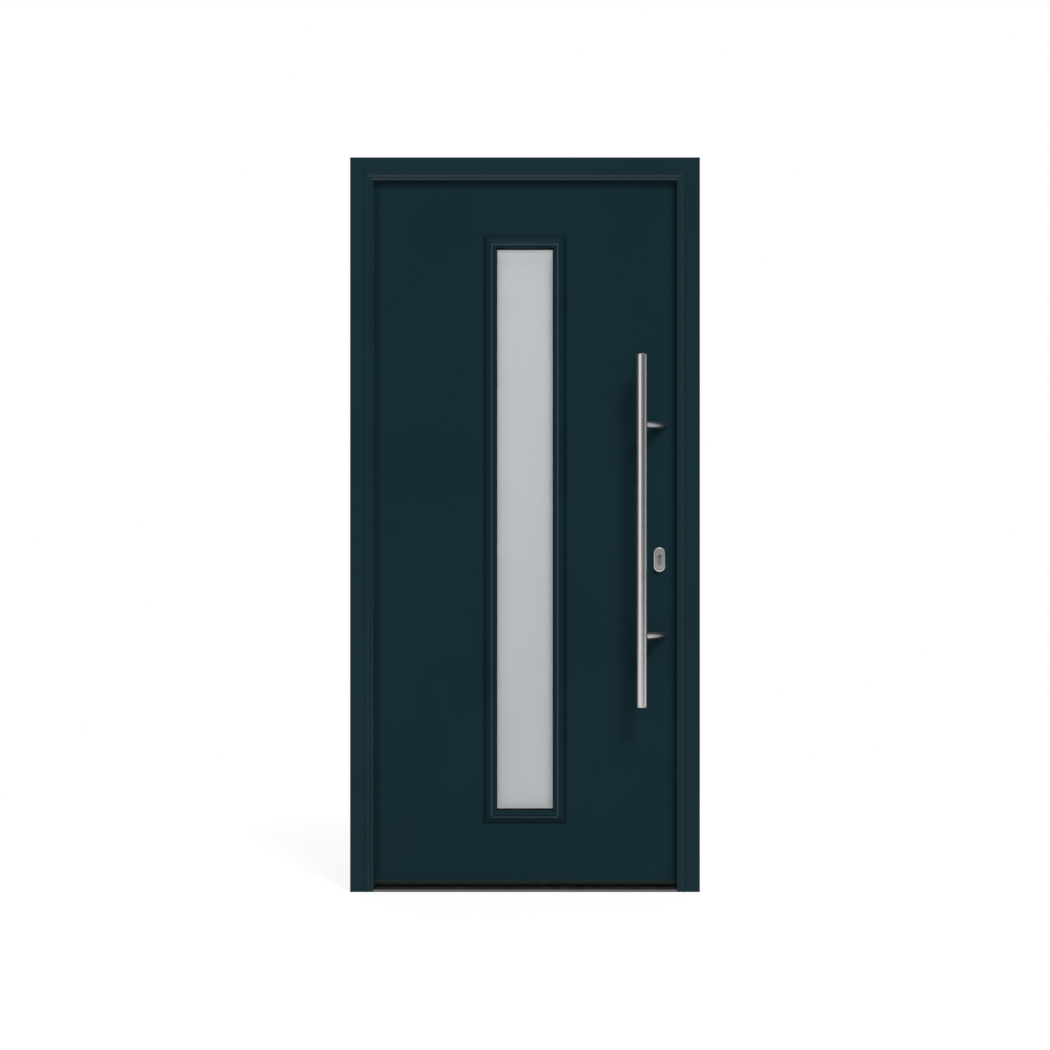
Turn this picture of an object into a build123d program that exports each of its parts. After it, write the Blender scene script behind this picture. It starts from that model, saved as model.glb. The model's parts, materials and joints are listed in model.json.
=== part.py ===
from build123d import *
import os

# Front door with a tall glazed panel, an outside pull bar and its frame.
# X runs to the right seen from outside, Y inwards, Z up. The origin is at the middle of the
# frame's width and depth, on the underside of the threshold. Lengths are in millimetres.

# Frame profiles
frame_width = 1000.0
frame_height = 2100.0
frame_depth = 80.0
face_width = 66.0
rebate_inset = 45.0
outer_profile_depth = 26.0
inner_profile_depth = 30.0
profile_wall = 1.8
bead_width = 16.0
bead_rise = 1.6
cove_width = 4.0
cove_depth = 0.3
edge_width = 6.0
edge_rise = 0.8
edge_crown = 0.8
edge_shoulder = 0.6
lip_chamber_shares = (0.5, 0.82)
insulating_bar_thickness = 3.0
insulating_bar_inset = 6.0
cleat_arm = 70.0
cleat_clearance = 0.2
anchor_hole_radius = 5.25
anchor_end_distance = 150.0
anchor_middle_spacing = 600.0

# Frame gasket
gasket_thickness = 5.0
gasket_width = 12.0
gasket_reveal = 4.5
seal_clearance = 0.3

# Threshold
threshold_height = 16.0
threshold_nose_height = 7.0
threshold_ramp = 15.0
threshold_wall = 2.0

# Leaf
leaf_recess = 15.0
edge_gap = 5.0
bottom_gap = 16.0
skin_thickness = 1.0
outer_return = 20.0
lock_stile_width = 112.0
hinge_stile_width = 60.0
rail_width = 60.0
bottom_seal_setback = 1.0
bottom_seal_depth = 16.0
bottom_seal_head = 6.0
bottom_seal_lip = 5.0
bottom_seal_slant = 5.0

# Glazing
trim_width = 236.0
trim_band = 36.0
trim_overlap = 18.0
trim_top_margin = 172.0
trim_bottom_margin = 164.0
trim_seal_width = 2.0
trim_seal_rise = 1.5
trim_lip_width = 2.6
trim_lip_rise = 3.5
trim_groove_depth = 0.6
trim_cove_width = 14.9
trim_cove_hollow = 0.6
trim_cove_rise = 7.2
trim_bead_width = 7.0
trim_crest_rise = 10.5
trim_fall_rise = 8.2
trim_sight_rise = 6.5
trim_rounding = 1.1
trim_leg_clearance = 2.0
pane_thickness = 6.0
spacer_width = 16.0
spacer_height = 8.0
glazing_clearance = 5.0
glazing_gasket_thickness = 3.0
glazing_gasket_width = 9.0
glazing_gasket_reveal = 2.0
setting_block_length = 30.0

# Lock
cylinder_below_bar_centre = 75.0
lever_rise = 92.0
backset = 65.0
faceplate_width = 20.0
faceplate_thickness = 3.0
faceplate_tail = 65.0
lock_case_back = 27.0
lock_case_below = 56.0
lock_case_above = 70.0
case_thickness = 16.0
case_wall = 1.5
pocket_clearance = 0.5
slot_clearance = 0.5
bolt_thickness = 12.0
dead_bolt_rise = 40.0
dead_bolt_height = 30.0
dead_bolt_length = 58.0
dead_bolt_setback = 0.5
latch_rise = 35.0
latch_height = 24.0
latch_reach = 14.0
latch_head = 34.0
latch_tail_height = 8.0
latch_tail_length = 35.0
latch_bevel = 9.0
follower_radius = 14.0
follower_lug_radius = 20.0
follower_lug_width = 8.0
follower_hub_radius = 9.0
spindle_side = 8.0
spindle_grip = 22.0
play = 0.1

# Hook bolts and their drive rods
hook_end_distance = 300.0
hook_pivot_depth = 16.0
hook_pin_radius = 3.0
hook_boss_radius = 8.0
hook_arm_width = 12.0
hook_arm_length = 33.0
hook_beak = 6.0
hook_beak_length = 8.0
hook_thickness = 9.0
hook_case_back = 14.0
hook_case_above = 20.0
hook_case_below = 48.0
rod_width = 12.0
rod_thickness = 2.6
rod_entry = 16.0
rod_stroke = 20.0
running_clearance = 0.06

# Cylinder and its plates
cylinder_radius = 8.5
cylinder_web = 10.0
cylinder_drop = 24.5
cylinder_proud = 1.0
plug_radius = 6.4
keyway_width = 2.2
keyway_height = 8.6
keyway_depth = 26.0
keyway_end_wall = 6.0
cam_width = 9.6
cam_ring_radius = 7.8
cam_tooth_radius = 15.0
cam_tooth_width = 8.0
cam_rest_angle = 30.0
rosette_width = 33.0
rosette_height = 70.0
rosette_thickness = 9.0
rosette_rounding = 2.5
rosette_drop = 8.0
inside_plate_width = 42.0
inside_plate_height = 250.0
inside_plate_thickness = 8.0
inside_plate_rounding = 2.5
plate_hole_clearance = 0.2

# Inside lever
lever_radius = 9.5
lever_reach = 46.0
lever_length = 125.0
lever_bend = 18.0
lever_rounding = 4.0

# Strikes and the latch keeper
strike_thickness = 2.5
strike_margin = 22.0
guide_wall = 1.5
guide_gap = 0.3
keeper_thickness = 6.0
keeper_length = 10.0
keeper_gap = 1.5

# Pull bar
bar_radius = 15.0
bar_wall = 1.5
bar_length = 1000.0
bar_centre_height = 1033.0
bar_cap = 3.0
bar_cap_plug = 10.0
bar_cap_rounding = 1.0
post_radius = 11.0
post_spacing = 600.0
post_foot_inset = 55.0
post_offset = 65.0
bar_stand_off = 65.0
pull_bolt_radius = 4.0
pull_bolt_head_radius = 9.0
pull_bolt_head = 5.0
pull_bolt_engagement = 8.0

# Hinges
knuckle_radius = 11.0
hinge_height = 110.0
leaf_knuckle_height = 52.0
knuckle_gap = 0.4
hinge_stand_off = 0.5
hinge_pin_radius = 5.0
hinge_cap = 3.0
hinge_cap_inset = 1.5
hinge_end_distance = 220.0
wing_width = 31.0
wing_thickness = 4.0
wing_clearance = 0.6
wing_screw_shares = (-0.36, 0.0, 0.36)

# Screws
screw_head_radius = 4.5
screw_head_height = 1.4
screw_shank_radius = 2.4
screw_length = 16.0
screw_clearance = 0.1

# Cuts run this far past the material
overrun = 5.0

# Places worked out from the sizes above
half_width = frame_width / 2
outer_y = -frame_depth / 2
inner_y = frame_depth / 2
rebate_x = half_width - rebate_inset
lip_x = half_width - face_width
lip_back = leaf_recess - gasket_thickness
leaf_half = rebate_x - edge_gap
leaf_top = frame_height - rebate_inset - edge_gap
leaf_bottom = threshold_height + bottom_gap
leaf_outer_y = outer_y + leaf_recess
leaf_inner_y = inner_y
leaf_middle_y = (leaf_outer_y + leaf_inner_y) / 2
lock_y = inner_y - inner_profile_depth / 2
lock_x = leaf_half - backset
cylinder_height = bar_centre_height - cylinder_below_bar_centre
lever_height = cylinder_height + lever_rise
edge_x = leaf_half - faceplate_thickness
case_x = lock_x - lock_case_back
case_bottom = cylinder_height - lock_case_below
case_top = lever_height + lock_case_above
dead_bolt_height_z = cylinder_height + dead_bolt_rise
latch_z = lever_height + latch_rise
hook_x = leaf_half - hook_pivot_depth
hook_heights = {"lower": leaf_bottom + hook_end_distance, "upper": leaf_top - hook_end_distance}
faceplate_bottom = hook_heights["lower"] - hook_case_below - faceplate_tail
faceplate_top = hook_heights["upper"] + hook_case_above + faceplate_tail
hinge_x = -(rebate_x + leaf_half) / 2
hinge_y = inner_y + knuckle_radius + hinge_stand_off
hinge_heights = {
    "lower": leaf_bottom + hinge_end_distance,
    "middle": (leaf_bottom + leaf_top) / 2,
    "upper": leaf_top - hinge_end_distance,
}
trim_half = trim_width / 2
trim_bottom = leaf_bottom + trim_bottom_margin
trim_top = leaf_top - trim_top_margin
window_half = trim_half - trim_overlap
window_bottom = trim_bottom + trim_overlap
window_top = trim_top - trim_overlap
glass_half = window_half - glazing_clearance
glass_bottom = window_bottom + glazing_clearance
glass_top = window_top - glazing_clearance
glass_depth = pane_thickness + spacer_width + pane_thickness
glass_outer_y = leaf_middle_y - glass_depth / 2
glass_inner_y = leaf_middle_y + glass_depth / 2
foot_x = leaf_half - post_foot_inset
bar_x = foot_x - post_offset
bar_y = leaf_outer_y - bar_stand_off
post_heights = {
    "lower": bar_centre_height - post_spacing / 2,
    "upper": bar_centre_height + post_spacing / 2,
}
anchor_heights = (
    anchor_end_distance,
    (frame_height - anchor_middle_spacing) / 2,
    (frame_height + anchor_middle_spacing) / 2,
    frame_height - anchor_end_distance,
)

inward = (0, 1, 0)
outward = (0, -1, 0)
rightward = (1, 0, 0)
leftward = (-1, 0, 0)
upward = (0, 0, 1)
on_base = (Align.CENTER, Align.CENTER, Align.MIN)


def span_box(x0, x1, y0, y1, z0, z1):
    """A box between two corners."""
    centre = Pos((x0 + x1) / 2, (y0 + y1) / 2, (z0 + z1) / 2)
    return centre * Box(x1 - x0, y1 - y0, z1 - z0)


def rod(start, direction, radius, length):
    """A round bar from a start point along a direction."""
    return Plane(origin=start, z_dir=direction) * Cylinder(radius, length, align=on_base)


def plate(sketch, y0, y1):
    """A sketch drawn in X and Z, made solid between two depths."""
    plane = Plane(origin=(0, y1, 0), x_dir=rightward, z_dir=outward)
    return extrude(plane * sketch, amount=y1 - y0)


def outline(*points):
    """A flat face with straight sides."""
    return make_face(Polyline(*points, close=True))


def rectangle(u0, u1, v0, v1):
    """A flat rectangle between two corners."""
    return outline((u0, v0), (u1, v0), (u1, v1), (u0, v1))


def group(solids):
    """Separate solids that share one node."""
    return Compound(children=[solid for piece in solids for solid in piece.solids()])


# Screws with a flat sunk head

def screw(start, direction):
    """A screw whose head is flush with the face at its start."""
    head = rod(start, direction, screw_head_radius, screw_head_height)
    return head + rod(start, direction, screw_shank_radius, screw_length)


def screw_hole(start, direction):
    """The sunk hole that takes a screw."""
    lead = Vector(*start) - Vector(*direction) * overrun
    sink = rod(lead, direction, screw_head_radius + screw_clearance, overrun + screw_head_height)
    bore_length = overrun + screw_length + screw_clearance
    return sink + rod(lead, direction, screw_shank_radius + screw_clearance, bore_length)


# Frame profiles, mitred at the two upper corners

def mitred_members(section, foot):
    """Left jamb, right jamb and head of one profile, drawn from the frame's outer front edge."""
    jamb_plane = Plane(origin=(-half_width, outer_y, 0))
    head_plane = Plane(origin=(-half_width, outer_y, frame_height), x_dir=(0, 0, -1), z_dir=rightward)
    jamb = extrude(jamb_plane * section, amount=frame_height)
    head = extrude(head_plane * section, amount=frame_width)
    reach = face_width + gasket_reveal + overrun
    jamb_region = outline(
        (-half_width, foot),
        (-half_width + reach, foot),
        (-half_width + reach, frame_height - reach),
        (-half_width, frame_height),
    )
    head_region = outline(
        (-half_width, frame_height),
        (half_width, frame_height),
        (half_width - reach, frame_height - reach),
        (-half_width + reach, frame_height - reach),
    )
    near = outer_y - max(bead_rise, edge_rise + edge_crown) - overrun
    far = inner_y + overrun
    left = jamb & plate(jamb_region, near, far)
    return left, mirror(left, about=Plane.YZ), head & plate(head_region, near, far)


def outer_section():
    """Moulded outer profile: flat, bead, cove and rounded raised edge, with its chambers."""
    cove_end = face_width - edge_width
    bead_end = cove_end - cove_width
    bead_start = bead_end - bead_width
    edge = Polyline((0, outer_profile_depth), (0, 0), (bead_start, 0))
    edge += ThreePointArc((bead_start, 0), (bead_start + bead_width / 2, -bead_rise), (bead_end, 0))
    edge += ThreePointArc((bead_end, 0), (bead_end + cove_width / 2, cove_depth), (cove_end, -edge_rise))
    edge += ThreePointArc(
        (cove_end, -edge_rise),
        (cove_end + edge_width / 2, -edge_rise - edge_crown),
        (face_width, edge_shoulder),
    )
    edge += Polyline(
        (face_width, edge_shoulder),
        (face_width, lip_back),
        (rebate_inset, lip_back),
        (rebate_inset, outer_profile_depth),
        (0, outer_profile_depth),
    )
    chamber = rectangle(
        profile_wall,
        rebate_inset - profile_wall,
        cove_depth + profile_wall,
        outer_profile_depth - profile_wall,
    )
    lip_chamber = rectangle(
        rebate_inset,
        face_width - profile_wall,
        lip_back * lip_chamber_shares[0],
        lip_back * lip_chamber_shares[1],
    )
    return make_face(edge) - chamber - lip_chamber


def inner_section():
    """Plain hollow inner profile."""
    front = frame_depth - inner_profile_depth
    tube = rectangle(0, rebate_inset, front, frame_depth)
    return tube - rectangle(
        profile_wall,
        rebate_inset - profile_wall,
        front + profile_wall,
        frame_depth - profile_wall,
    )


def bar_section():
    """Two insulating bars that join the outer profile to the inner one."""
    front = outer_profile_depth
    back = frame_depth - inner_profile_depth
    first = insulating_bar_inset
    second = rebate_inset - insulating_bar_inset - insulating_bar_thickness
    bars = rectangle(first, first + insulating_bar_thickness, front, back)
    return bars + rectangle(second, second + insulating_bar_thickness, front, back)


def gasket_section():
    """Soft gasket behind the lip, with a rounded edge that shows past the raised edge."""
    shown = face_width + gasket_reveal
    depth = gasket_thickness - seal_clearance
    body = rectangle(shown - gasket_width, shown - depth / 2, lip_back, lip_back + depth)
    return body + Pos(shown - depth / 2, lip_back + depth / 2) * Circle(depth / 2)


def corner_cleats():
    """L-shaped cleats pressed into the chambers at the two upper corners."""
    depths = (
        (cove_depth + profile_wall, outer_profile_depth - profile_wall),
        (frame_depth - inner_profile_depth + profile_wall, frame_depth - profile_wall),
    )
    near_u = profile_wall + cleat_clearance
    far_u = rebate_inset - profile_wall - cleat_clearance
    cleats = []
    for front, back in depths:
        shape = outline(
            (-half_width + near_u, frame_height - near_u),
            (-half_width + cleat_arm, frame_height - near_u),
            (-half_width + cleat_arm, frame_height - far_u),
            (-half_width + far_u, frame_height - far_u),
            (-half_width + far_u, frame_height - cleat_arm),
            (-half_width + near_u, frame_height - cleat_arm),
        )
        cleat = plate(shape, outer_y + front + cleat_clearance, outer_y + back - cleat_clearance)
        cleats += [cleat, mirror(cleat, about=Plane.YZ)]
    return group(cleats)


def threshold():
    """Low hollow threshold with a sloping nose, fitted between the jambs."""
    section = outline(
        (0, 0),
        (0, threshold_nose_height),
        (threshold_ramp, threshold_height),
        (frame_depth, threshold_height),
        (frame_depth, 0),
    )
    middle = (threshold_ramp + frame_depth) / 2
    low = threshold_wall
    high = threshold_height - threshold_wall
    section -= rectangle(threshold_ramp, middle - threshold_wall / 2, low, high)
    section -= rectangle(middle + threshold_wall / 2, frame_depth - threshold_wall, low, high)
    plane = Plane(origin=(-rebate_x, outer_y, 0), x_dir=inward, z_dir=rightward)
    body = extrude(plane * section, amount=rebate_x + rebate_x)
    notch = span_box(
        lip_x,
        rebate_x + overrun,
        outer_y - overrun,
        outer_y + lip_back,
        -overrun,
        threshold_height + overrun,
    )
    return body - notch - mirror(notch, about=Plane.YZ)


# Hinges on the inside face

def knuckle_spans(height):
    """Height ranges of the two frame knuckles and the leaf knuckle of one hinge."""
    low = height - hinge_height / 2
    high = height + hinge_height / 2
    leaf_low = height - leaf_knuckle_height / 2
    leaf_high = height + leaf_knuckle_height / 2
    return ((low, leaf_low - knuckle_gap), (leaf_high + knuckle_gap, high)), ((leaf_low, leaf_high),)


def wing_screw_places(side, height):
    """Screw places on a wing: side -1 is the frame, 1 the leaf."""
    x = hinge_x + side * (knuckle_radius + wing_clearance + wing_width / 2)
    return [(x, inner_y + wing_thickness, height + hinge_height * share) for share in wing_screw_shares]


def hinge_wing(side, height, spans, bore_radius):
    """A flat wing with its knuckles, which are bored for the pin."""
    near = hinge_x + side * (knuckle_radius + wing_clearance)
    far = near + side * wing_width
    low = height - hinge_height / 2
    high = height + hinge_height / 2
    wing = span_box(min(near, far), max(near, far), inner_y, inner_y + wing_thickness, low, high)
    for start, end in spans:
        left = min(near, hinge_x)
        right = max(near, hinge_x)
        wing += span_box(left, right, inner_y, inner_y + wing_thickness, start, end)
        wing += rod((hinge_x, hinge_y, start), upward, knuckle_radius, end - start)
    wing -= rod((hinge_x, hinge_y, low - overrun), upward, bore_radius, hinge_height + overrun + overrun)
    for place in wing_screw_places(side, height):
        wing -= screw_hole(place, outward)
    return wing


def hinge_pin(height):
    """A hinge pin with a flat cap at each end."""
    low = height - hinge_height / 2
    pin = rod((hinge_x, hinge_y, low), upward, hinge_pin_radius, hinge_height)
    cap_radius = knuckle_radius - hinge_cap_inset
    pin += rod((hinge_x, hinge_y, low - hinge_cap), upward, cap_radius, hinge_cap)
    return pin + rod((hinge_x, hinge_y, low + hinge_height), upward, cap_radius, hinge_cap)


# Leaf

def euro_profile(clearance):
    """Keyhole-shaped outline of the lock cylinder, at its place in X and Z."""
    web = cylinder_web / 2 + clearance
    drop = cylinder_drop - cylinder_web / 2
    shape = Pos(lock_x, cylinder_height) * Circle(cylinder_radius + clearance)
    shape += rectangle(lock_x - web, lock_x + web, cylinder_height - drop, cylinder_height)
    return shape + Pos(lock_x, cylinder_height - drop) * Circle(web)


def pull_bolt_holes():
    """Holes through the leaf for the pull bar's bolts."""
    start_y = leaf_outer_y - overrun
    length = leaf_inner_y - leaf_outer_y + overrun + overrun
    radius = pull_bolt_radius + screw_clearance
    return [rod((foot_x, start_y, height), inward, radius, length) for height in post_heights.values()]


def window_cut():
    """The opening in the leaf for the glass."""
    return span_box(
        -window_half,
        window_half,
        leaf_outer_y - overrun,
        leaf_inner_y + overrun,
        window_bottom,
        window_top,
    )


def cylinder_cut():
    """The hole through the leaf for the lock cylinder."""
    return plate(euro_profile(pocket_clearance), leaf_outer_y - overrun, leaf_inner_y + overrun)


def tray(face_y, return_y):
    """A sheet face with folded edges and the openings that go through it."""
    inside = 1 if return_y > face_y else -1
    cut_y = face_y + inside * skin_thickness
    past_y = return_y + inside * overrun
    skin = span_box(
        -leaf_half,
        leaf_half,
        min(face_y, return_y),
        max(face_y, return_y),
        leaf_bottom,
        leaf_top,
    )
    skin -= span_box(
        skin_thickness - leaf_half,
        leaf_half - skin_thickness,
        min(cut_y, past_y),
        max(cut_y, past_y),
        leaf_bottom + skin_thickness,
        leaf_top - skin_thickness,
    )
    skin = skin - window_cut() - cylinder_cut()
    for hole in pull_bolt_holes():
        skin -= hole
    return skin


def spindle_hole():
    """The hole in the leaf's inner side for the lever's neck and spindle."""
    length = leaf_inner_y - lock_y + overrun
    return rod((lock_x, lock_y, lever_height), inward, lever_radius + pocket_clearance, length)


def inner_skin():
    """Inner sheet, with short returns that end at the lock faceplate."""
    return_depth = leaf_inner_y - lock_y - faceplate_width / 2 - play
    skin = tray(leaf_inner_y, leaf_inner_y - return_depth) - spindle_hole()
    for height in hinge_heights.values():
        for place in wing_screw_places(1, height):
            skin -= screw_hole(place, outward)
    return skin


def frame_board(x0, x1, z0, z1):
    """A solid edge board between the two skins."""
    return span_box(x0, x1, leaf_outer_y + skin_thickness, leaf_inner_y - skin_thickness, z0, z1)


stile_low = leaf_bottom + skin_thickness
stile_high = leaf_top - skin_thickness
stile_edge = leaf_half - skin_thickness
lock_stile_x = stile_edge - lock_stile_width
hinge_stile_x = hinge_stile_width - stile_edge


def case_range(clearance):
    """Depth range of the lock and hook cases."""
    return lock_y - case_thickness / 2 - clearance, lock_y + case_thickness / 2 + clearance


def faceplate_screw_heights():
    """Heights of the screws that hold the faceplate."""
    return (
        faceplate_bottom + faceplate_tail / 2,
        (hook_heights["lower"] + case_bottom) / 2,
        (hook_heights["upper"] + case_top) / 2,
        faceplate_top - faceplate_tail / 2,
    )


def faceplate_screw_places():
    """Places of the screws along the leaf's edge."""
    return [(leaf_half, lock_y, height) for height in faceplate_screw_heights()]


def lock_stile():
    """Lock-side board, with pockets for the cases, the faceplate and the drive rods."""
    near, far = case_range(pocket_clearance)
    past = leaf_half + overrun
    gap = pocket_clearance
    board = frame_board(lock_stile_x, stile_edge, stile_low, stile_high)
    board -= span_box(case_x - gap, past, near, far, case_bottom - gap, case_top + gap)
    for height in hook_heights.values():
        back = hook_x - hook_case_back - gap
        low = height - hook_case_below - gap
        board -= span_box(back, past, near, far, low, height + hook_case_above + gap)
    board -= span_box(
        edge_x,
        past,
        lock_y - faceplate_width / 2,
        lock_y + faceplate_width / 2,
        faceplate_bottom,
        faceplate_top,
    )
    board -= span_box(
        edge_x - rod_thickness - gap - gap,
        past,
        lock_y - rod_width / 2 - gap,
        lock_y + rod_width / 2 + gap,
        hook_heights["lower"],
        hook_heights["upper"],
    )
    board = board - cylinder_cut() - spindle_hole()
    for hole in pull_bolt_holes():
        board -= hole
    for place in faceplate_screw_places():
        board -= screw_hole(place, leftward)
    return board


def hinge_stile():
    """Hinge-side board, drilled for the hinge screws."""
    board = frame_board(-stile_edge, hinge_stile_x, stile_low, stile_high)
    for height in hinge_heights.values():
        for place in wing_screw_places(1, height):
            board -= screw_hole(place, outward)
    return board


def bottom_seal():
    """Rubber seal under the leaf, tapering to a lip just clear of the threshold."""
    drop = bottom_gap - seal_clearance
    section = outline(
        (bottom_seal_setback, leaf_bottom),
        (bottom_seal_setback, leaf_bottom - drop / 2),
        (bottom_seal_setback + bottom_seal_slant, leaf_bottom - drop),
        (bottom_seal_setback + bottom_seal_slant + bottom_seal_lip, leaf_bottom - drop),
        (bottom_seal_setback + bottom_seal_slant + bottom_seal_lip, leaf_bottom - bottom_seal_head),
        (bottom_seal_setback + bottom_seal_depth, leaf_bottom - bottom_seal_head),
        (bottom_seal_setback + bottom_seal_depth, leaf_bottom),
    )
    plane = Plane(origin=(-leaf_half, leaf_outer_y, 0), x_dir=inward, z_dir=rightward)
    return extrude(plane * section, amount=leaf_half + leaf_half)


# Glazing

def trim_section(side, leg_depth):
    """Moulded trim: lip, groove, cove, bead, gentle fall to the glass and a leg behind it.

    Side is -1 where the moulding stands out towards outside and 1 towards inside."""
    lip_end = trim_seal_width + trim_lip_width
    groove = lip_end + trim_groove_depth
    groove_rise = trim_lip_rise - trim_groove_depth
    cove_end = groove + trim_cove_width
    hollow = (groove_rise + trim_cove_rise) / 2 - trim_cove_hollow
    bead_end = cove_end + trim_bead_width
    leg = trim_overlap + trim_leg_clearance

    def at(across, rise):
        return (across, side * rise)

    edge = Polyline(
        at(trim_seal_width, 0),
        at(trim_seal_width, trim_lip_rise),
        at(lip_end, trim_lip_rise),
        at(groove, groove_rise),
    )
    edge += ThreePointArc(
        at(groove, groove_rise),
        at(groove + trim_cove_width / 2, hollow),
        at(cove_end, trim_cove_rise),
    )
    edge += ThreePointArc(
        at(cove_end, trim_cove_rise),
        at(cove_end + trim_bead_width / 2, trim_crest_rise),
        at(bead_end, trim_fall_rise),
    )
    edge += Polyline(
        at(bead_end, trim_fall_rise),
        at(trim_band, trim_sight_rise),
        at(trim_band, -leg_depth),
        at(leg, -leg_depth),
        at(leg, 0),
        at(trim_seal_width, 0),
    )
    face = make_face(edge)
    shown = (at(trim_seal_width, trim_lip_rise), at(trim_band, trim_sight_rise))
    corners = [face.vertices().sort_by_distance(corner)[0] for corner in shown]
    return fillet(corners, trim_rounding)


def trim_ring(side, face_y, leg_depth):
    """The trim's four mitred runs, joined into one moulding round the glass."""
    section = trim_section(side, leg_depth)
    tall = trim_top - trim_bottom
    runs = (
        (Plane(origin=(-trim_half, face_y, trim_bottom), x_dir=rightward, z_dir=upward), tall),
        (Plane(origin=(trim_half, face_y, trim_top), x_dir=leftward, z_dir=(0, 0, -1)), tall),
        (Plane(origin=(trim_half, face_y, trim_bottom), x_dir=upward, z_dir=leftward), trim_width),
        (Plane(origin=(-trim_half, face_y, trim_top), x_dir=(0, 0, -1), z_dir=rightward), trim_width),
    )
    low_inner = trim_bottom + trim_half
    high_inner = trim_top - trim_half
    left = outline((-trim_half, trim_bottom), (0, low_inner), (0, high_inner), (-trim_half, trim_top))
    right = outline((trim_half, trim_bottom), (0, low_inner), (0, high_inner), (trim_half, trim_top))
    lower = outline((-trim_half, trim_bottom), (0, low_inner), (trim_half, trim_bottom))
    upper = outline((-trim_half, trim_top), (0, high_inner), (trim_half, trim_top))
    near = leaf_outer_y - trim_crest_rise - overrun
    far = leaf_inner_y + trim_crest_rise + overrun
    pieces = []
    for (plane, length), region in zip(runs, (left, right, lower, upper)):
        pieces.append(extrude(plane * section, amount=length) & plate(region, near, far))
    return pieces[0] + pieces[1] + pieces[2] + pieces[3]


def flat_ring(outer_half, low, high, band, y0, y1):
    """A flat rectangular ring of one band width."""
    ring = rectangle(-outer_half, outer_half, low, high)
    ring -= rectangle(band - outer_half, outer_half - band, low + band, high - band)
    return plate(ring, y0, y1)


def trim_seal(y0, y1):
    """Soft line round the trim, where its lip meets the sheet."""
    return flat_ring(trim_half, trim_bottom, trim_top, trim_seal_width, y0, y1)


def pane(y0):
    """One glass pane."""
    return span_box(-glass_half, glass_half, y0, y0 + pane_thickness, glass_bottom, glass_top)


def glazing_gaskets():
    """Gasket rings: one on each side of the glass and one round the edge of each trim."""
    shown = trim_band + glazing_gasket_reveal
    start = shown - glazing_gasket_width
    outer_half = trim_half - start
    low = trim_bottom + start
    high = trim_top - start
    thick = glazing_gasket_thickness
    return group([
        flat_ring(outer_half, low, high, glazing_gasket_width, glass_outer_y - thick, glass_outer_y),
        flat_ring(outer_half, low, high, glazing_gasket_width, glass_inner_y, glass_inner_y + thick),
        trim_seal(leaf_outer_y - trim_seal_rise, leaf_outer_y),
        trim_seal(leaf_inner_y, leaf_inner_y + trim_seal_rise),
    ])


def setting_blocks():
    """Two blocks that carry the weight of the glass."""
    blocks = []
    for side in (-1, 1):
        x = side * (glass_half - setting_block_length)
        half = setting_block_length / 2
        blocks.append(span_box(x - half, x + half, glass_outer_y, glass_inner_y, window_bottom, glass_bottom))
    return group(blocks)


# Lock

def bolt_slot(height, z, x0, x1):
    """A slot in the lock's edge for a bolt of the given height."""
    half_y = bolt_thickness / 2 + slot_clearance
    half_z = height / 2 + slot_clearance
    return span_box(x0, x1, lock_y - half_y, lock_y + half_y, z - half_z, z + half_z)


def hook_slot(z, x0, x1):
    """A slot that lets a hook swing out."""
    half_y = hook_thickness / 2 + slot_clearance
    low = z - hook_arm_length - hook_beak
    return span_box(x0, x1, lock_y - half_y, lock_y + half_y, low, z + hook_arm_width / 2 + slot_clearance)


def faceplate():
    """Long plate on the leaf's edge, slotted for the bolts and drilled for its screws."""
    half = faceplate_width / 2
    strip = span_box(edge_x, leaf_half, lock_y - half, lock_y + half, faceplate_bottom, faceplate_top)
    past = leaf_half + overrun
    strip -= bolt_slot(latch_height, latch_z, edge_x - overrun, past)
    strip -= bolt_slot(dead_bolt_height, dead_bolt_height_z, edge_x - overrun, past)
    for height in hook_heights.values():
        strip -= hook_slot(height, edge_x - overrun, past)
    for place in faceplate_screw_places():
        strip -= screw_hole(place, leftward)
    return strip


def lock_case():
    """Hollow lock case, open for the bolts, the follower, the cylinder and the drive rods."""
    near, far = case_range(0)
    case = span_box(case_x, edge_x, near, far, case_bottom, case_top)
    case -= span_box(
        case_x + case_wall,
        edge_x - case_wall,
        near + case_wall,
        far - case_wall,
        case_bottom + case_wall,
        case_top - case_wall,
    )
    inside = edge_x - case_wall - overrun
    case -= bolt_slot(latch_height, latch_z, inside, edge_x + overrun)
    case -= bolt_slot(dead_bolt_height, dead_bolt_height_z, inside, edge_x + overrun)
    case -= plate(euro_profile(pocket_clearance), near - overrun, far + overrun)
    hub = follower_hub_radius + play
    case -= rod((lock_x, near - overrun, lever_height), inward, hub, case_thickness + overrun + overrun)
    half_rod = rod_width / 2 + pocket_clearance
    rod_back = edge_x - rod_thickness - pocket_clearance - pocket_clearance
    case -= span_box(
        rod_back,
        edge_x + overrun,
        lock_y - half_rod,
        lock_y + half_rod,
        case_top - rod_entry - pocket_clearance,
        case_top + overrun,
    )
    return case - span_box(
        rod_back,
        edge_x + overrun,
        lock_y - half_rod,
        lock_y + half_rod,
        case_bottom - overrun,
        case_bottom + rod_entry + rod_stroke + pocket_clearance,
    )


def hook_case(z):
    """Folded channel with a riveted pin that a hook turns on."""
    near, far = case_range(0)
    back = hook_x - hook_case_back
    low = z - hook_case_below
    high = z + hook_case_above
    channel = span_box(back, edge_x, near, far, low, high)
    channel -= span_box(
        back + case_wall,
        edge_x + overrun,
        near + case_wall,
        far - case_wall,
        low - overrun,
        high + overrun,
    )
    return channel + rod((hook_x, near, z), inward, hook_pin_radius, case_thickness)


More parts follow.
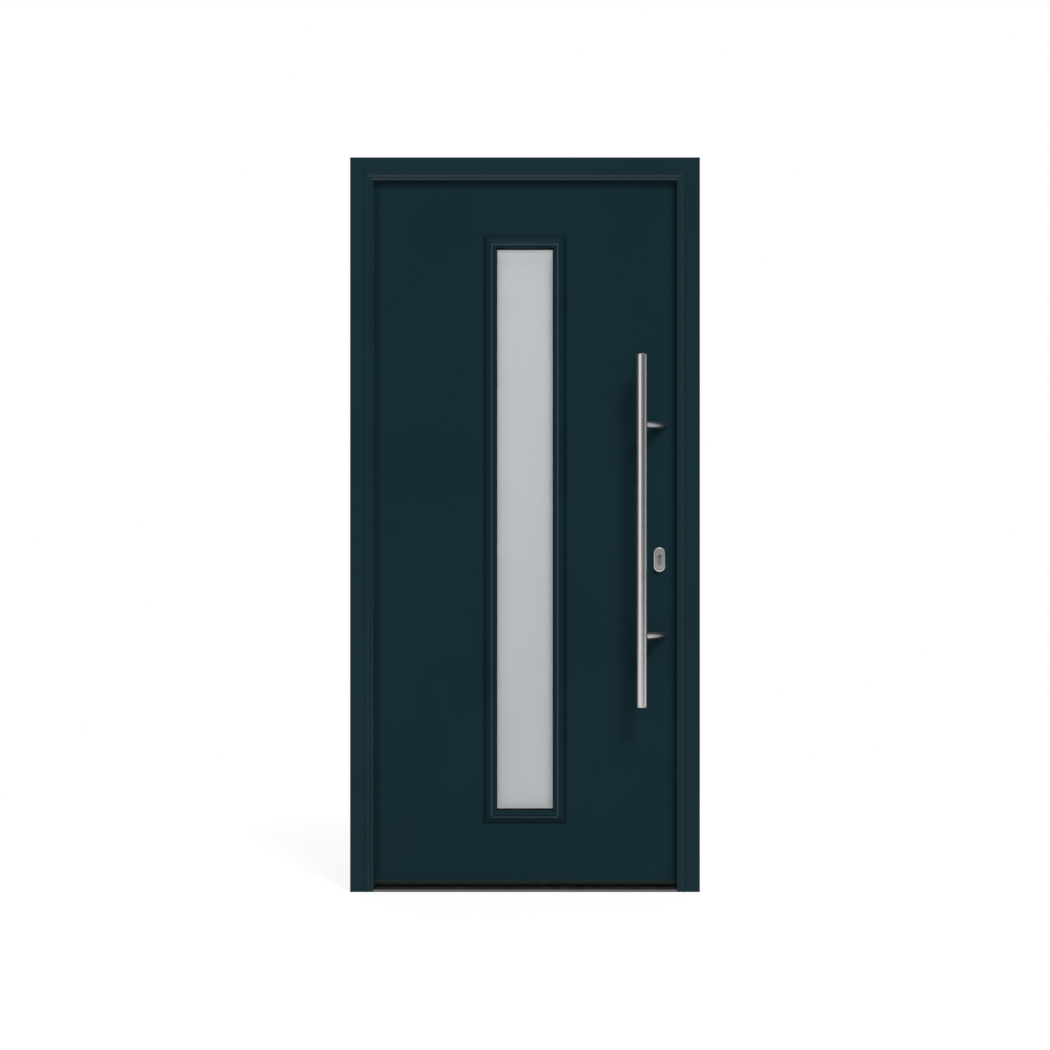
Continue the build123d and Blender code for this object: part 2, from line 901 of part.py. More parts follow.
def hook(z):
    """Swinging hook, folded down inside the leaf, with its beak towards the edge."""
    half = hook_arm_width / 2
    tip = z - hook_arm_length
    arm = rectangle(hook_x - half, hook_x + half, tip, z)
    arm += rectangle(hook_x, hook_x + half + hook_beak, tip, tip + hook_beak_length)
    arm += Pos(hook_x, z) * Circle(hook_boss_radius)
    arm -= Pos(hook_x, z) * Circle(hook_pin_radius + running_clearance)
    return plate(arm, lock_y - hook_thickness / 2, lock_y + hook_thickness / 2)


def drive_rods():
    """Two flat rods behind the faceplate, slotted so that they slide past its screws."""
    front = edge_x - pocket_clearance
    back = front - rod_thickness
    low_start = hook_heights["lower"] + hook_boss_radius + hook_beak
    low_end = case_bottom + rod_entry
    high_start = case_top - rod_entry
    high_end = hook_heights["upper"] - hook_arm_length - rod_stroke - play
    room = screw_shank_radius + pocket_clearance
    rods = []
    for start, end in ((low_start, low_end), (high_start, high_end)):
        strip = span_box(back, front, lock_y - rod_width / 2, lock_y + rod_width / 2, start, end)
        for z in faceplate_screw_heights():
            strip -= span_box(
                back - overrun,
                front + overrun,
                lock_y - room,
                lock_y + room,
                z - room - rod_stroke,
                z + room,
            )
        rods.append(strip)
    return group(rods)


def latch_bolt():
    """Sprung latch with a bevel on its outer side and a tail inside the case."""
    tip = leaf_half + latch_reach
    back = tip - latch_head
    near = lock_y - bolt_thickness / 2
    far = lock_y + bolt_thickness / 2
    top_view = outline((back, near), (tip - latch_bevel, near), (tip, far), (back, far))
    head = extrude(Pos(0, 0, latch_z - latch_height / 2) * top_view, amount=latch_height)
    half_tail = latch_tail_height / 2
    tail_end = back - latch_tail_length
    return head + span_box(tail_end, back, near, far, latch_z - half_tail, latch_z + half_tail)


def dead_bolt():
    """Square dead bolt, drawn back into the case."""
    tip = leaf_half - dead_bolt_setback
    half = dead_bolt_height / 2
    return span_box(
        tip - dead_bolt_length,
        tip,
        lock_y - bolt_thickness / 2,
        lock_y + bolt_thickness / 2,
        dead_bolt_height_z - half,
        dead_bolt_height_z + half,
    )


def lever_follower():
    """Follower disc in the lock case, with hubs in the case walls and a lug for the latch."""
    near, far = case_range(0)
    disc_near = near + case_wall + play
    disc_far = far - case_wall - play
    body = rod((lock_x, near, lever_height), inward, follower_hub_radius, case_thickness)
    body += rod((lock_x, disc_near, lever_height), inward, follower_radius, disc_far - disc_near)
    half = follower_lug_width / 2
    lug_top = lever_height + follower_lug_radius
    body += span_box(lock_x - half, lock_x + half, disc_near, disc_far, lever_height, lug_top)
    return body - spindle(spindle_side + play + play, case_thickness + overrun)


def spindle(side, length):
    """Square bar along the lever's axis, from the outer wall of the lock case inwards."""
    near = case_range(0)[0]
    half = side / 2
    return span_box(
        lock_x - half,
        lock_x + half,
        near,
        near + length,
        lever_height - half,
        lever_height + half,
    )


spindle_length = leaf_inner_y + inside_plate_thickness + spindle_grip - case_range(0)[0]


def inside_lever():
    """Round lever, bent once, on the inside face."""
    start = (lock_x, leaf_inner_y, lever_height)
    corner = (lock_x, leaf_inner_y + inside_plate_thickness + lever_reach, lever_height)
    end = (lock_x - lever_length, corner[1], lever_height)
    path = FilletPolyline(start, corner, end, radius=lever_bend)
    lever = sweep(Plane(origin=start, z_dir=inward) * Circle(lever_radius), path=path)
    lever = fillet(lever.faces().sort_by(Axis.X)[0].edges(), lever_rounding)
    return lever - spindle(spindle_side + play + play, spindle_length + play)


# Lock cylinder

cylinder_outer_y = leaf_outer_y - rosette_thickness - cylinder_proud
cylinder_inner_y = leaf_inner_y + inside_plate_thickness + cylinder_proud


def cylinder_body():
    """Profile cylinder, bored for the plugs and cut away round the cam."""
    body = plate(euro_profile(0), cylinder_outer_y, cylinder_inner_y)
    length = cylinder_inner_y - cylinder_outer_y + overrun + overrun
    start = (lock_x, cylinder_outer_y - overrun, cylinder_height)
    body -= rod(start, inward, plug_radius + running_clearance, length)
    half = cam_width / 2 + guide_gap
    reach = cylinder_radius + overrun
    return body - span_box(
        lock_x - reach,
        lock_x + reach,
        lock_y - half,
        lock_y + half,
        cylinder_height - cam_tooth_radius - guide_gap,
        cylinder_height + reach,
    )


def key_plug():
    """Outer and inner plug, each with a keyway in its face."""
    half_cam = cam_width / 2 + play
    half_key = keyway_width / 2
    low = cylinder_height - keyway_height / 2
    high = cylinder_height + keyway_height / 2
    outer_length = lock_y - half_cam - cylinder_outer_y
    outer = rod((lock_x, cylinder_outer_y, cylinder_height), inward, plug_radius, outer_length)
    outer -= span_box(
        lock_x - half_key,
        lock_x + half_key,
        cylinder_outer_y - overrun,
        cylinder_outer_y + keyway_depth,
        low,
        high,
    )
    inner_start = lock_y + half_cam
    inner_length = cylinder_inner_y - inner_start
    inner = rod((lock_x, inner_start, cylinder_height), inward, plug_radius, inner_length)
    inner -= span_box(
        lock_x - half_key,
        lock_x + half_key,
        inner_start + keyway_end_wall,
        cylinder_inner_y + overrun,
        low,
        high,
    )
    return group([outer, inner])


def cylinder_cam():
    """Cam ring between the plugs, with a tooth that works the bolts."""
    half = cam_tooth_width / 2
    tooth = rectangle(-half, half, -cam_tooth_radius, 0) & Circle(cam_tooth_radius)
    ring = Circle(cam_ring_radius) + tooth
    turned = Pos(lock_x, cylinder_height) * Rot(0, 0, cam_rest_angle) * ring
    return plate(turned, lock_y - cam_width / 2, lock_y + cam_width / 2)


def cylinder_rosette():
    """Oval rosette with rounded edges round the outer end of the cylinder."""
    middle = cylinder_height - rosette_drop
    oval = Pos(lock_x, middle) * SlotOverall(rosette_height, rosette_width, rotation=90)
    face = leaf_outer_y - rosette_thickness
    body = plate(oval, face, leaf_outer_y)
    body = fillet(body.faces().sort_by(Axis.Y)[0].edges(), rosette_rounding)
    return body - plate(euro_profile(plate_hole_clearance), face - overrun, leaf_inner_y)


def inside_plate():
    """Rounded plate on the inside face, round the lever's neck and the cylinder."""
    middle = (cylinder_height + lever_height) / 2
    oval = Pos(lock_x, middle) * SlotOverall(inside_plate_height, inside_plate_width, rotation=90)
    face = leaf_inner_y + inside_plate_thickness
    body = plate(oval, leaf_inner_y, face)
    body = fillet(body.faces().sort_by(Axis.Y)[-1].edges(), inside_plate_rounding)
    body -= plate(euro_profile(plate_hole_clearance), leaf_inner_y - overrun, face + overrun)
    neck = lever_radius + play
    start = (lock_x, leaf_inner_y - overrun, lever_height)
    return body - rod(start, inward, neck, inside_plate_thickness + overrun + overrun)


# Strikes

def strike_plate(low, high):
    """A flat strike on the jamb's rebate face."""
    half = faceplate_width / 2
    return span_box(rebate_x - strike_thickness, rebate_x, lock_y - half, lock_y + half, low, high)


def strike_screw_places(low, high):
    """Screw places near the two ends of a strike."""
    x = rebate_x - strike_thickness
    return [(x, lock_y, low + strike_margin / 2), (x, lock_y, high - strike_margin / 2)]


strike_past = rebate_x + profile_wall + overrun
keeper_half = latch_height / 2
guide_half = keeper_half + guide_gap
keeper_near = lock_y + bolt_thickness / 2 + slot_clearance
keeper_x = leaf_half + latch_reach + keeper_gap
notch_half = guide_half + guide_wall + slot_clearance
hook_strikes = {
    name: (z - hook_arm_length - hook_beak - strike_margin, z + hook_arm_width + strike_margin)
    for name, z in hook_heights.items()
}
centre_strike = (
    dead_bolt_height_z - dead_bolt_height / 2 - strike_margin,
    latch_z + notch_half + strike_margin,
)


def latch_notch(half, x1):
    """The latch's way through the frame, open towards inside so that the leaf can swing."""
    near = lock_y - bolt_thickness / 2 - slot_clearance
    x0 = rebate_x - strike_thickness - overrun
    return span_box(x0, x1, near, inner_y + overrun, latch_z - half, latch_z + half)


def strike_centre():
    """Centre strike for the latch and dead bolt, with a guide for the latch keeper."""
    low, high = centre_strike
    body = strike_plate(low, high) - latch_notch(guide_half, keeper_x)
    start = rebate_x - strike_thickness
    body -= bolt_slot(dead_bolt_height, dead_bolt_height_z, start - overrun, strike_past)
    near = lock_y - bolt_thickness / 2 - slot_clearance
    far = inner_y - profile_wall - guide_gap
    back = keeper_x + keeper_length + guide_gap
    z0 = latch_z - guide_half
    z1 = latch_z + guide_half
    plate_far = lock_y + faceplate_width / 2
    body += span_box(start, rebate_x, near, plate_far, z0 - guide_wall, z0)
    body += span_box(start, rebate_x, near, plate_far, z1, z1 + guide_wall)
    body += span_box(rebate_x, back + guide_wall, near, far, z0 - guide_wall, z0)
    body += span_box(rebate_x, back + guide_wall, near, far, z1, z1 + guide_wall)
    body += span_box(back, back + guide_wall, near, far, z0, z1)
    for place in strike_screw_places(low, high):
        body -= screw_hole(place, rightward)
    return body


def strike_keeper():
    """Sliding keeper that holds the latch, drawn at its day-release place."""
    return span_box(
        keeper_x,
        keeper_x + keeper_length,
        keeper_near,
        keeper_near + keeper_thickness,
        latch_z - keeper_half,
        latch_z + keeper_half,
    )


def hook_strike(name):
    """Upper or lower strike, slotted for its hook."""
    low, high = hook_strikes[name]
    body = strike_plate(low, high)
    body -= hook_slot(hook_heights[name], rebate_x - strike_thickness - overrun, strike_past)
    for place in strike_screw_places(low, high):
        body -= screw_hole(place, rightward)
    return body


def right_jamb_cuts():
    """Pockets in the right inner jamb for the bolts, the keeper guide and the strike screws."""
    start = rebate_x - overrun
    cuts = [
        latch_notch(notch_half, rebate_x + profile_wall + overrun),
        span_box(
            start,
            keeper_x,
            inner_y - profile_wall - overrun,
            inner_y + overrun,
            latch_z - guide_half,
            latch_z + guide_half,
        ),
        bolt_slot(dead_bolt_height, dead_bolt_height_z, start, strike_past),
    ]
    for name, z in hook_heights.items():
        cuts.append(hook_slot(z, start, strike_past))
        cuts += [screw_hole(place, rightward) for place in strike_screw_places(*hook_strikes[name])]
    cuts += [screw_hole(place, rightward) for place in strike_screw_places(*centre_strike)]
    return cuts


def anchor_holes(side):
    """Holes across an inner jamb for the wall anchors."""
    length = rebate_inset + overrun + overrun
    start_x = -half_width - overrun if side < 0 else rebate_x - overrun
    return [rod((start_x, lock_y, z), rightward, anchor_hole_radius, length) for z in anchor_heights]


# Pull bar

def pull_bar():
    """Upright tube."""
    low = bar_centre_height - bar_length / 2 + bar_cap
    length = bar_length - bar_cap - bar_cap
    tube = rod((bar_x, bar_y, low), upward, bar_radius, length)
    return tube - rod((bar_x, bar_y, low), upward, bar_radius - bar_wall, length)


def pull_end_caps():
    """A cap pressed into each end of the tube."""
    low = bar_centre_height - bar_length / 2
    plug = bar_radius - bar_wall - play
    cap = rod((bar_x, bar_y, low), upward, bar_radius, bar_cap)
    cap = fillet(cap.faces().sort_by(Axis.Z)[0].edges(), bar_cap_rounding)
    cap += rod((bar_x, bar_y, low + bar_cap), upward, plug, bar_cap_plug)
    return group([cap, mirror(cap, about=Plane.XY.offset(bar_centre_height))])


def pull_post(z):
    """Slanting post, coped to the bar and cut flat where it stands on the leaf."""
    lean = Vector(post_offset, bar_stand_off, 0)
    start = Vector(bar_x, bar_y, z)
    post = rod(start, lean, post_radius, lean.length + post_radius + post_radius)
    block = post_offset + post_radius + post_radius + bar_radius
    post -= span_box(bar_x, bar_x + block + block, leaf_outer_y, leaf_inner_y + block, z - block, z + block)
    post -= rod((bar_x, bar_y, z - block), upward, bar_radius + play, block + block)
    hole_start = (foot_x, leaf_outer_y - pull_bolt_engagement - play, z)
    return post - rod(hole_start, inward, pull_bolt_radius + screw_clearance, pull_bolt_engagement + overrun)


def pull_bolts():
    """Bolts through the leaf into the posts, with round heads inside."""
    bolts = []
    start_y = leaf_outer_y - pull_bolt_engagement
    for z in post_heights.values():
        bolt = rod((foot_x, start_y, z), inward, pull_bolt_radius, leaf_inner_y - start_y)
        bolt += rod((foot_x, leaf_inner_y, z), inward, pull_bolt_head_radius, pull_bolt_head)
        bolts.append(bolt)
    return group(bolts)


def screws():
    """Frame screws and leaf screws."""
    frame_places = [(place, rightward) for place in strike_screw_places(*centre_strike)]
    for low, high in hook_strikes.values():
        frame_places += [(place, rightward) for place in strike_screw_places(low, high)]
    leaf_places = [(place, leftward) for place in faceplate_screw_places()]
    for height in hinge_heights.values():
        frame_places += [(place, outward) for place in wing_screw_places(-1, height)]
        leaf_places += [(place, outward) for place in wing_screw_places(1, height)]
    in_frame = group([screw(place, direction) for place, direction in frame_places])
    in_leaf = group([screw(place, direction) for place, direction in leaf_places])
    return in_frame, in_leaf


def all_parts():
    """Every piece by its node name."""
    nodes = {}
    outer_left, outer_right, outer_head = mitred_members(outer_section(), 0)
    nodes["jamb_outer_left"] = outer_left
    nodes["jamb_outer_right"] = outer_right
    nodes["head_outer"] = outer_head

    inner_left, inner_right, inner_head = mitred_members(inner_section(), 0)
    for hole in anchor_holes(-1):
        inner_left -= hole
    for hole in anchor_holes(1) + right_jamb_cuts():
        inner_right -= hole
    for height in hinge_heights.values():
        for place in wing_screw_places(-1, height):
            inner_left -= screw_hole(place, outward)
    nodes["jamb_inner_left"] = inner_left
    nodes["jamb_inner_right"] = inner_right
    nodes["head_inner"] = inner_head

    nodes["insulating_bars"] = group(mitred_members(bar_section(), 0))
    nodes["corner_cleats"] = corner_cleats()
    nodes["threshold"] = threshold()
    gasket_left, gasket_right, gasket_head = mitred_members(gasket_section(), threshold_height)
    nodes["frame_gasket"] = gasket_left + gasket_right + gasket_head

    nodes["strike_centre"] = strike_centre()
    nodes["strike_keeper"] = strike_keeper()
    for name, z in hook_heights.items():
        nodes["strike_" + name] = hook_strike(name)
        nodes["hook_case_" + name] = hook_case(z)
        nodes["hook_" + name] = hook(z)
    nodes["frame_screws"], nodes["leaf_screws"] = screws()

    for name, height in hinge_heights.items():
        frame_spans, leaf_spans = knuckle_spans(height)
        bore = hinge_pin_radius + running_clearance
        nodes["hinge_frame_wing_" + name] = hinge_wing(-1, height, frame_spans, bore)
        nodes["hinge_leaf_wing_" + name] = hinge_wing(1, height, leaf_spans, bore)
    nodes["hinge_pins"] = group([hinge_pin(height) for height in hinge_heights.values()])

    nodes["skin_outer"] = tray(leaf_outer_y, leaf_outer_y + outer_return)
    nodes["skin_inner"] = inner_skin()
    nodes["stile_lock"] = lock_stile()
    nodes["stile_hinge"] = hinge_stile()
    nodes["rail_bottom"] = frame_board(hinge_stile_x, lock_stile_x, stile_low, stile_low + rail_width)
    nodes["rail_top"] = frame_board(hinge_stile_x, lock_stile_x, stile_high - rail_width, stile_high)
    core = frame_board(hinge_stile_x, lock_stile_x, stile_low + rail_width, stile_high - rail_width)
    nodes["foam_core"] = core - window_cut()
    nodes["bottom_seal"] = bottom_seal()

    outer_leg = glass_outer_y - glazing_gasket_thickness - leaf_outer_y
    inner_leg = leaf_inner_y - glass_inner_y - glazing_gasket_thickness
    nodes["trim_outer"] = trim_ring(-1, leaf_outer_y, outer_leg)
    nodes["trim_inner"] = trim_ring(1, leaf_inner_y, inner_leg)
    nodes["pane_outer"] = pane(glass_outer_y)
    nodes["pane_inner"] = pane(glass_inner_y - pane_thickness)
    spacer_y = glass_outer_y + pane_thickness
    nodes["glass_spacer"] = flat_ring(
        glass_half, glass_bottom, glass_top, spacer_height, spacer_y, spacer_y + spacer_width
    )
    nodes["glazing_gaskets"] = glazing_gaskets()
    nodes["setting_blocks"] = setting_blocks()

    nodes["lock_faceplate"] = faceplate()
    nodes["lock_case"] = lock_case()
    nodes["latch_bolt"] = latch_bolt()
    nodes["dead_bolt"] = dead_bolt()
    nodes["lever_follower"] = lever_follower()
    nodes["lever_spindle"] = spindle(spindle_side, spindle_length)
    nodes["inside_lever"] = inside_lever()
    nodes["drive_rods"] = drive_rods()
    nodes["cylinder_body"] = cylinder_body()
    nodes["key_plug"] = key_plug()
    nodes["cylinder_cam"] = cylinder_cam()
    nodes["cylinder_rosette"] = cylinder_rosette()
    nodes["inside_plate"] = inside_plate()

    nodes["pull_bar"] = pull_bar()
    nodes["pull_end_caps"] = pull_end_caps()
    for name, z in post_heights.items():
        nodes["pull_post_" + name] = pull_post(z)
    nodes["pull_bolts"] = pull_bolts()
    return nodes


os.makedirs("parts", exist_ok=True)
for node_name, shape in all_parts().items():
    export_step(shape, "parts/" + node_name + ".step")
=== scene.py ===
import json
import math

import bmesh
import bpy
from mathutils import Matrix, Vector


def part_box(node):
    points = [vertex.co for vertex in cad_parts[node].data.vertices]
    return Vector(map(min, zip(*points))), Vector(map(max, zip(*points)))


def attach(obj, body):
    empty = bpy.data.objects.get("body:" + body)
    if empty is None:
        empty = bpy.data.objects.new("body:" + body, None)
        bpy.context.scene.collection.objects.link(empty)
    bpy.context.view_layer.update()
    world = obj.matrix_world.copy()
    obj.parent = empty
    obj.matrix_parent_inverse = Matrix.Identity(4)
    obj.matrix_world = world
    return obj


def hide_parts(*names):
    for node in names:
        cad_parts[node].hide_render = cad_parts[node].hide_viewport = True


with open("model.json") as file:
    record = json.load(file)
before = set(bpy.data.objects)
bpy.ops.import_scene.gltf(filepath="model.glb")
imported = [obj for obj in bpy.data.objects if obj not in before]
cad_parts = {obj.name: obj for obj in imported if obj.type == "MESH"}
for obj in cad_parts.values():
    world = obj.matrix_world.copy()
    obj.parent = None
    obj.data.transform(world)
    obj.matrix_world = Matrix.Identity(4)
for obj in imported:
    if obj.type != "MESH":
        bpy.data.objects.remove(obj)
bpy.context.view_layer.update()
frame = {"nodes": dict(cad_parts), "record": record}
nodes = frame["nodes"]
slotOf = {part["node"]: part["material_slot"] for part in frame["record"]["subparts"]}
bodies = frame["record"]["behaviour"]["bodies"]
bodyOf = {node: body for body, members in bodies.items() for node in members}
scene = bpy.context.scene
scene.view_settings.view_transform = "Standard"


# node trees: a wire carries a value between nodes and takes part in sums
def plug(tree, value, entry):
    if isinstance(value, Wire):
        tree.links.new(value.socket, entry)
    else:
        entry.default_value = value


class Wire:
    def __init__(self, tree, socket):
        self.tree = tree
        self.socket = socket

    def maths(self, operation, first, second):
        node = self.tree.nodes.new("ShaderNodeMath")
        node.operation = operation
        plug(self.tree, first, node.inputs[0])
        plug(self.tree, second, node.inputs[1])
        return Wire(self.tree, node.outputs[0])

    def __add__(self, other):
        return self.maths("ADD", self, other)

    def __radd__(self, other):
        return self.maths("ADD", other, self)

    def __sub__(self, other):
        return self.maths("SUBTRACT", self, other)

    def __rsub__(self, other):
        return self.maths("SUBTRACT", other, self)

    def __mul__(self, other):
        return self.maths("MULTIPLY", self, other)

    def __rmul__(self, other):
        return self.maths("MULTIPLY", other, self)

    def __gt__(self, other):
        return self.maths("GREATER_THAN", self, other)

    def __lt__(self, other):
        return self.maths("LESS_THAN", self, other)

    def size(self):
        return self.maths("ABSOLUTE", self, 0.0)

    def least(self, other):
        return self.maths("MINIMUM", self, other)

    def most(self, other):
        return self.maths("MAXIMUM", self, other)


class Tree:
    def __init__(self, tree):
        self.tree = tree
        self.tree.nodes.clear()

    def add(self, kind, settings=None, sockets=None, out=0):
        node = self.tree.nodes.new(kind)
        for key, value in (settings or {}).items():
            setattr(node, key, value)
        for key, value in (sockets or {}).items():
            plug(self.tree, value, node.inputs[key])
        return Wire(self.tree, node.outputs[out]) if len(node.outputs) else node

    def noise(self, place, scale, detail, rough=0.5):
        sockets = {"Vector": place, "Scale": scale, "Detail": detail, "Roughness": rough}
        return self.add("ShaderNodeTexNoise", None, sockets)

    def mix(self, factor, first, second):
        return self.add("ShaderNodeMix", {"data_type": "RGBA"}, {0: factor, 6: first, 7: second}, 2)

    def remap(self, value, low, high, newLow, newHigh):
        sockets = {0: value, 1: low, 2: high, 3: newLow, 4: newHigh}
        return self.add("ShaderNodeMapRange", {"interpolation_type": "SMOOTHSTEP"}, sockets)


noiseSpan = (0.3, 0.7)  # most of a noise lies between these
uneven = {"drop": 0.06, "fine": 0.1, "broad": 0.04}


class Finish(Tree):
    def __init__(self, name):
        self.material = bpy.data.materials.new(name)
        self.material.use_nodes = True
        super().__init__(self.material.node_tree)
        self.place = self.add("ShaderNodeTexCoord", out="Object")

    def axes(self, letters):
        return [self.add("ShaderNodeSeparateXYZ", None, {0: self.place}, letter) for letter in letters]

    def stretched(self, scale, turn=(0, 0, 0)):
        sockets = {"Vector": self.place, "Rotation": turn, "Scale": scale}
        return self.add("ShaderNodeMapping", None, sockets)

    def bump(self, height, strength, distance):
        sockets = {"Height": height, "Strength": strength, "Distance": distance}
        return self.add("ShaderNodeBump", None, sockets)

    def blend(self, first, second, share):
        return first * (1 - share) + second * share

    def tone(self, first, second, share):  # two noises added, spread over the whole range
        return self.remap(self.blend(first, second, share), *noiseSpan, 0.0, 1.0)

    def unevenRough(self, rough, fine, broad, share=1.0):
        return rough - uneven["drop"] + fine * uneven["fine"] * share + broad * uneven["broad"]

    def close(self, **sockets):
        named = {key.replace("_", " "): value for key, value in sockets.items()}
        shader = self.add("ShaderNodeBsdfPrincipled", None, named)
        self.add("ShaderNodeOutputMaterial", None, {"Surface": shader})
        return self.material


def fromBytes(red, green, blue):  # screen colour to the linear one that nodes take
    def linear(value):
        share = value / 255
        return share / 12.92 if share < 0.04045 else ((share + 0.055) / 1.055) ** 2.4
    return (linear(red), linear(green), linear(blue), 1.0)


def shade(colour, factor):
    return tuple(channel * factor for channel in colour[:3]) + (1.0,)


black = (0.0, 0.0, 0.0, 1.0)
white = (1.0, 1.0, 1.0, 1.0)

# painted finishes
paint = {
    "frame_coat": {
        "colour": fromBytes(18, 42, 49), "grain": 900.0, "depth": 0.00003, "rough": 0.34, "gloss": 0.10,
    },
    "leaf_coat": {
        "colour": fromBytes(19, 42, 49), "grain": 1300.0, "depth": 0.00005, "rough": 0.44, "gloss": 0.05,
    },
    "trim_coat": {
        "colour": fromBytes(16, 38, 45), "grain": 700.0, "depth": 0.00002, "rough": 0.34, "gloss": 0.06,
    },
}
coatSpray = {"cloud": 2.2, "peel": 0.22, "spread": 0.1, "grainShare": 0.25, "peelShare": 0.45, "bump": 0.35}
trimHighlight = {  # painted highlight: the crest and the lip are painted lighter, each side at its own distance from the edge
    "crest": {"left": 0.0203, "right": 0.0225, "head": 0.0243, "foot": 0.0152},
    "crestHalf": 0.0034,
    "lip": {"left": 0.0022, "right": 0.0022, "head": 0.0028, "foot": 0.0022},
    "lipHalf": 0.0026,
    "stileShare": 0.72,
    "lipShare": 0.42,
    "lipStileShare": 0.25,
    "colour": fromBytes(62, 86, 94),
}


def paintedHighlightLines(finish, s):
    low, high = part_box("trim_outer")
    x, z = finish.axes("XZ")
    inset = {"left": x - low.x, "right": high.x - x, "head": high.z - z, "foot": z - low.z}

    def line(places, half):
        away = {side: inset[side] - at for side, at in places.items()}
        stile = away["left"].least(away["right"])
        rail = away["head"].least(away["foot"])
        return finish.remap(stile.least(rail).size(), 0.0, half, 1.0, 0.0), stile > rail

    crest, crestOnRail = line(s["crest"], s["crestHalf"])
    lip, lipOnRail = line(s["lip"], s["lipHalf"])
    onHead = inset["foot"] > (high.z - low.z) / 2
    crestShare = s["stileShare"] + crestOnRail * (1 - s["stileShare"])
    lipShare = s["lipStileShare"] + lipOnRail * onHead * (1 - s["lipStileShare"])
    return crest * crestShare + lip * lipShare * s["lipShare"]


# painted shade: the sight edge is painted dark where it turns in to the glass
trimReveal = {"from": 0.0345, "to": 0.0368, "share": 0.9, "dulling": 0.6}


def revealShade(finish, s):
    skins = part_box("skin_outer")[0].y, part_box("skin_inner")[1].y
    away = finish.axes("Y")[0] - sum(skins) / 2
    return finish.remap(away.size(), s["from"], s["to"], s["share"], 0.0)


# painted shade: darker paint where the leaf meets the frame and the trim
frameShade = {"reach": 0.030, "share": 0.36, "trimReach": 0.0042, "trimShare": 0.42}


def paintedContactShade(finish, s):
    x, z = finish.axes("XZ")
    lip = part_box("jamb_outer_left")[1].x
    side = x.size()
    byFrame = finish.remap(-lip - side, 0.0, s["reach"], s["share"], 0.0)
    low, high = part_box("glazing_gaskets")
    along = z - (low.z + high.z) / 2
    past = (side - high.x).most(along.size() - (high.z - low.z) / 2)
    return byFrame + finish.remap(past, 0.0, s["trimReach"], s["trimShare"], 0.0)


framePolish = {  # each line: its distance from the frame's outer edge and half its width
    "lines": ((0.0525, 0.0050), (0.0622, 0.0042)),
    "core": 0.4,
    "headWeight": 0.55,
    "jambWeight": 0.12,
    "rough": 0.22,
}


def polishedBeads(finish, s):
    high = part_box("head_outer")[1]
    x, z = finish.axes("XZ")
    side = high.x - x.size()
    top = high.z - z
    inset = side.least(top)
    weight = s["jambWeight"] + (side > top) * (s["headWeight"] - s["jambWeight"])
    total = 0.0
    for at, halfWidth in s["lines"]:
        total = total + finish.remap((inset - at).size(), halfWidth * s["core"], halfWidth, 1.0, 0.0)
    return total * weight


def powderCoat(name, look):
    finish = Finish(name)
    spray = coatSpray
    cloud = finish.noise(finish.place, spray["cloud"], detail=4.0, rough=0.6)
    grain = finish.noise(finish.place, look["grain"], detail=3.0)
    peel = finish.noise(finish.place, look["grain"] * spray["peel"], detail=1.0)
    tone = finish.tone(cloud, grain, spray["grainShare"])
    darker, lighter = (shade(look["colour"], 1 + way * spray["spread"]) for way in (-1, 1))
    colour = finish.mix(tone, darker, lighter)
    rough = finish.unevenRough(look["rough"], grain, cloud)
    if name == "trim_coat":
        # painted highlight along the trim's crest and lip
        colour = finish.mix(paintedHighlightLines(finish, trimHighlight), colour, trimHighlight["colour"])
        # painted shade in the trim's reveal by the glass
        reveal = revealShade(finish, trimReveal)
        colour = finish.mix(reveal, colour, black)
        rough = rough + reveal * trimReveal["dulling"]
    if name == "leaf_coat":
        # painted shade on the leaf beside the frame and the trim
        colour = finish.mix(paintedContactShade(finish, frameShade), colour, black)
    return finish.close(
        Base_Color=colour,
        Coat_Weight=polishedBeads(finish, framePolish) if name == "frame_coat" else 0.0,
        Coat_Roughness=framePolish["rough"],
        Roughness=rough,
        Normal=finish.bump(finish.blend(grain, peel, spray["peelShare"]), spray["bump"], look["depth"]),
        Specular_IOR_Level=look["gloss"],
    )


# bare metal finishes: streaks run along one direction
metal = {
    "stainless": {
        "colour": (0.60, 0.59, 0.585, 1), "rough": 0.25, "along": (2200, 2200, 5), "bare": 0.9, "blotch": 0.3,
    },
    "post_steel": {
        "colour": (0.80, 0.785, 0.80, 1), "rough": 0.26, "along": (2200, 5, 2200), "turn": 45, "bare": 0.95,
        "blotch": 0.3,
    },
    "plug_nickel": {
        "colour": (0.60, 0.585, 0.55, 1), "rough": 0.24, "along": (1800, 300, 1800), "bare": 0.95,
    },
    "rosette_steel": {
        "colour": (0.62, 0.61, 0.60, 1), "rough": 0.27, "along": (2200, 2200, 5), "bare": 0.9, "blotch": 0.6,
    },
    "lock_steel": {
        "colour": (0.50, 0.50, 0.49, 1), "rough": 0.36, "along": (1500, 1500, 14), "bare": 0.9,
    },
    "nickel": {
        "colour": (0.46, 0.45, 0.425, 1), "rough": 0.24, "along": (1800, 300, 1800), "bare": 0.95,
    },
    "aluminium": {
        "colour": (0.66, 0.67, 0.68, 1), "rough": 0.36, "along": (4, 1500, 1500), "bare": 0.9,
    },
    "threshold_grey": {
        "colour": (0.130, 0.128, 0.128, 1), "rough": 0.26, "along": (4, 1500, 1500), "bare": 1.0,
    },
}
brushing = {"smear": 24.0, "smearShare": 0.4, "darker": 0.1, "lighter": 0.08, "bump": 0.25, "depth": 0.00002}

postShade = {
    "from": -0.075,
    "to": -0.036,
    "near": 1.0,
    "far": 0.10,
    "below": -0.0045,
    "above": 0.0035,
    "dark": 0.45,
    "shadeColour": (0.235, 0.255, 0.280, 1),
}


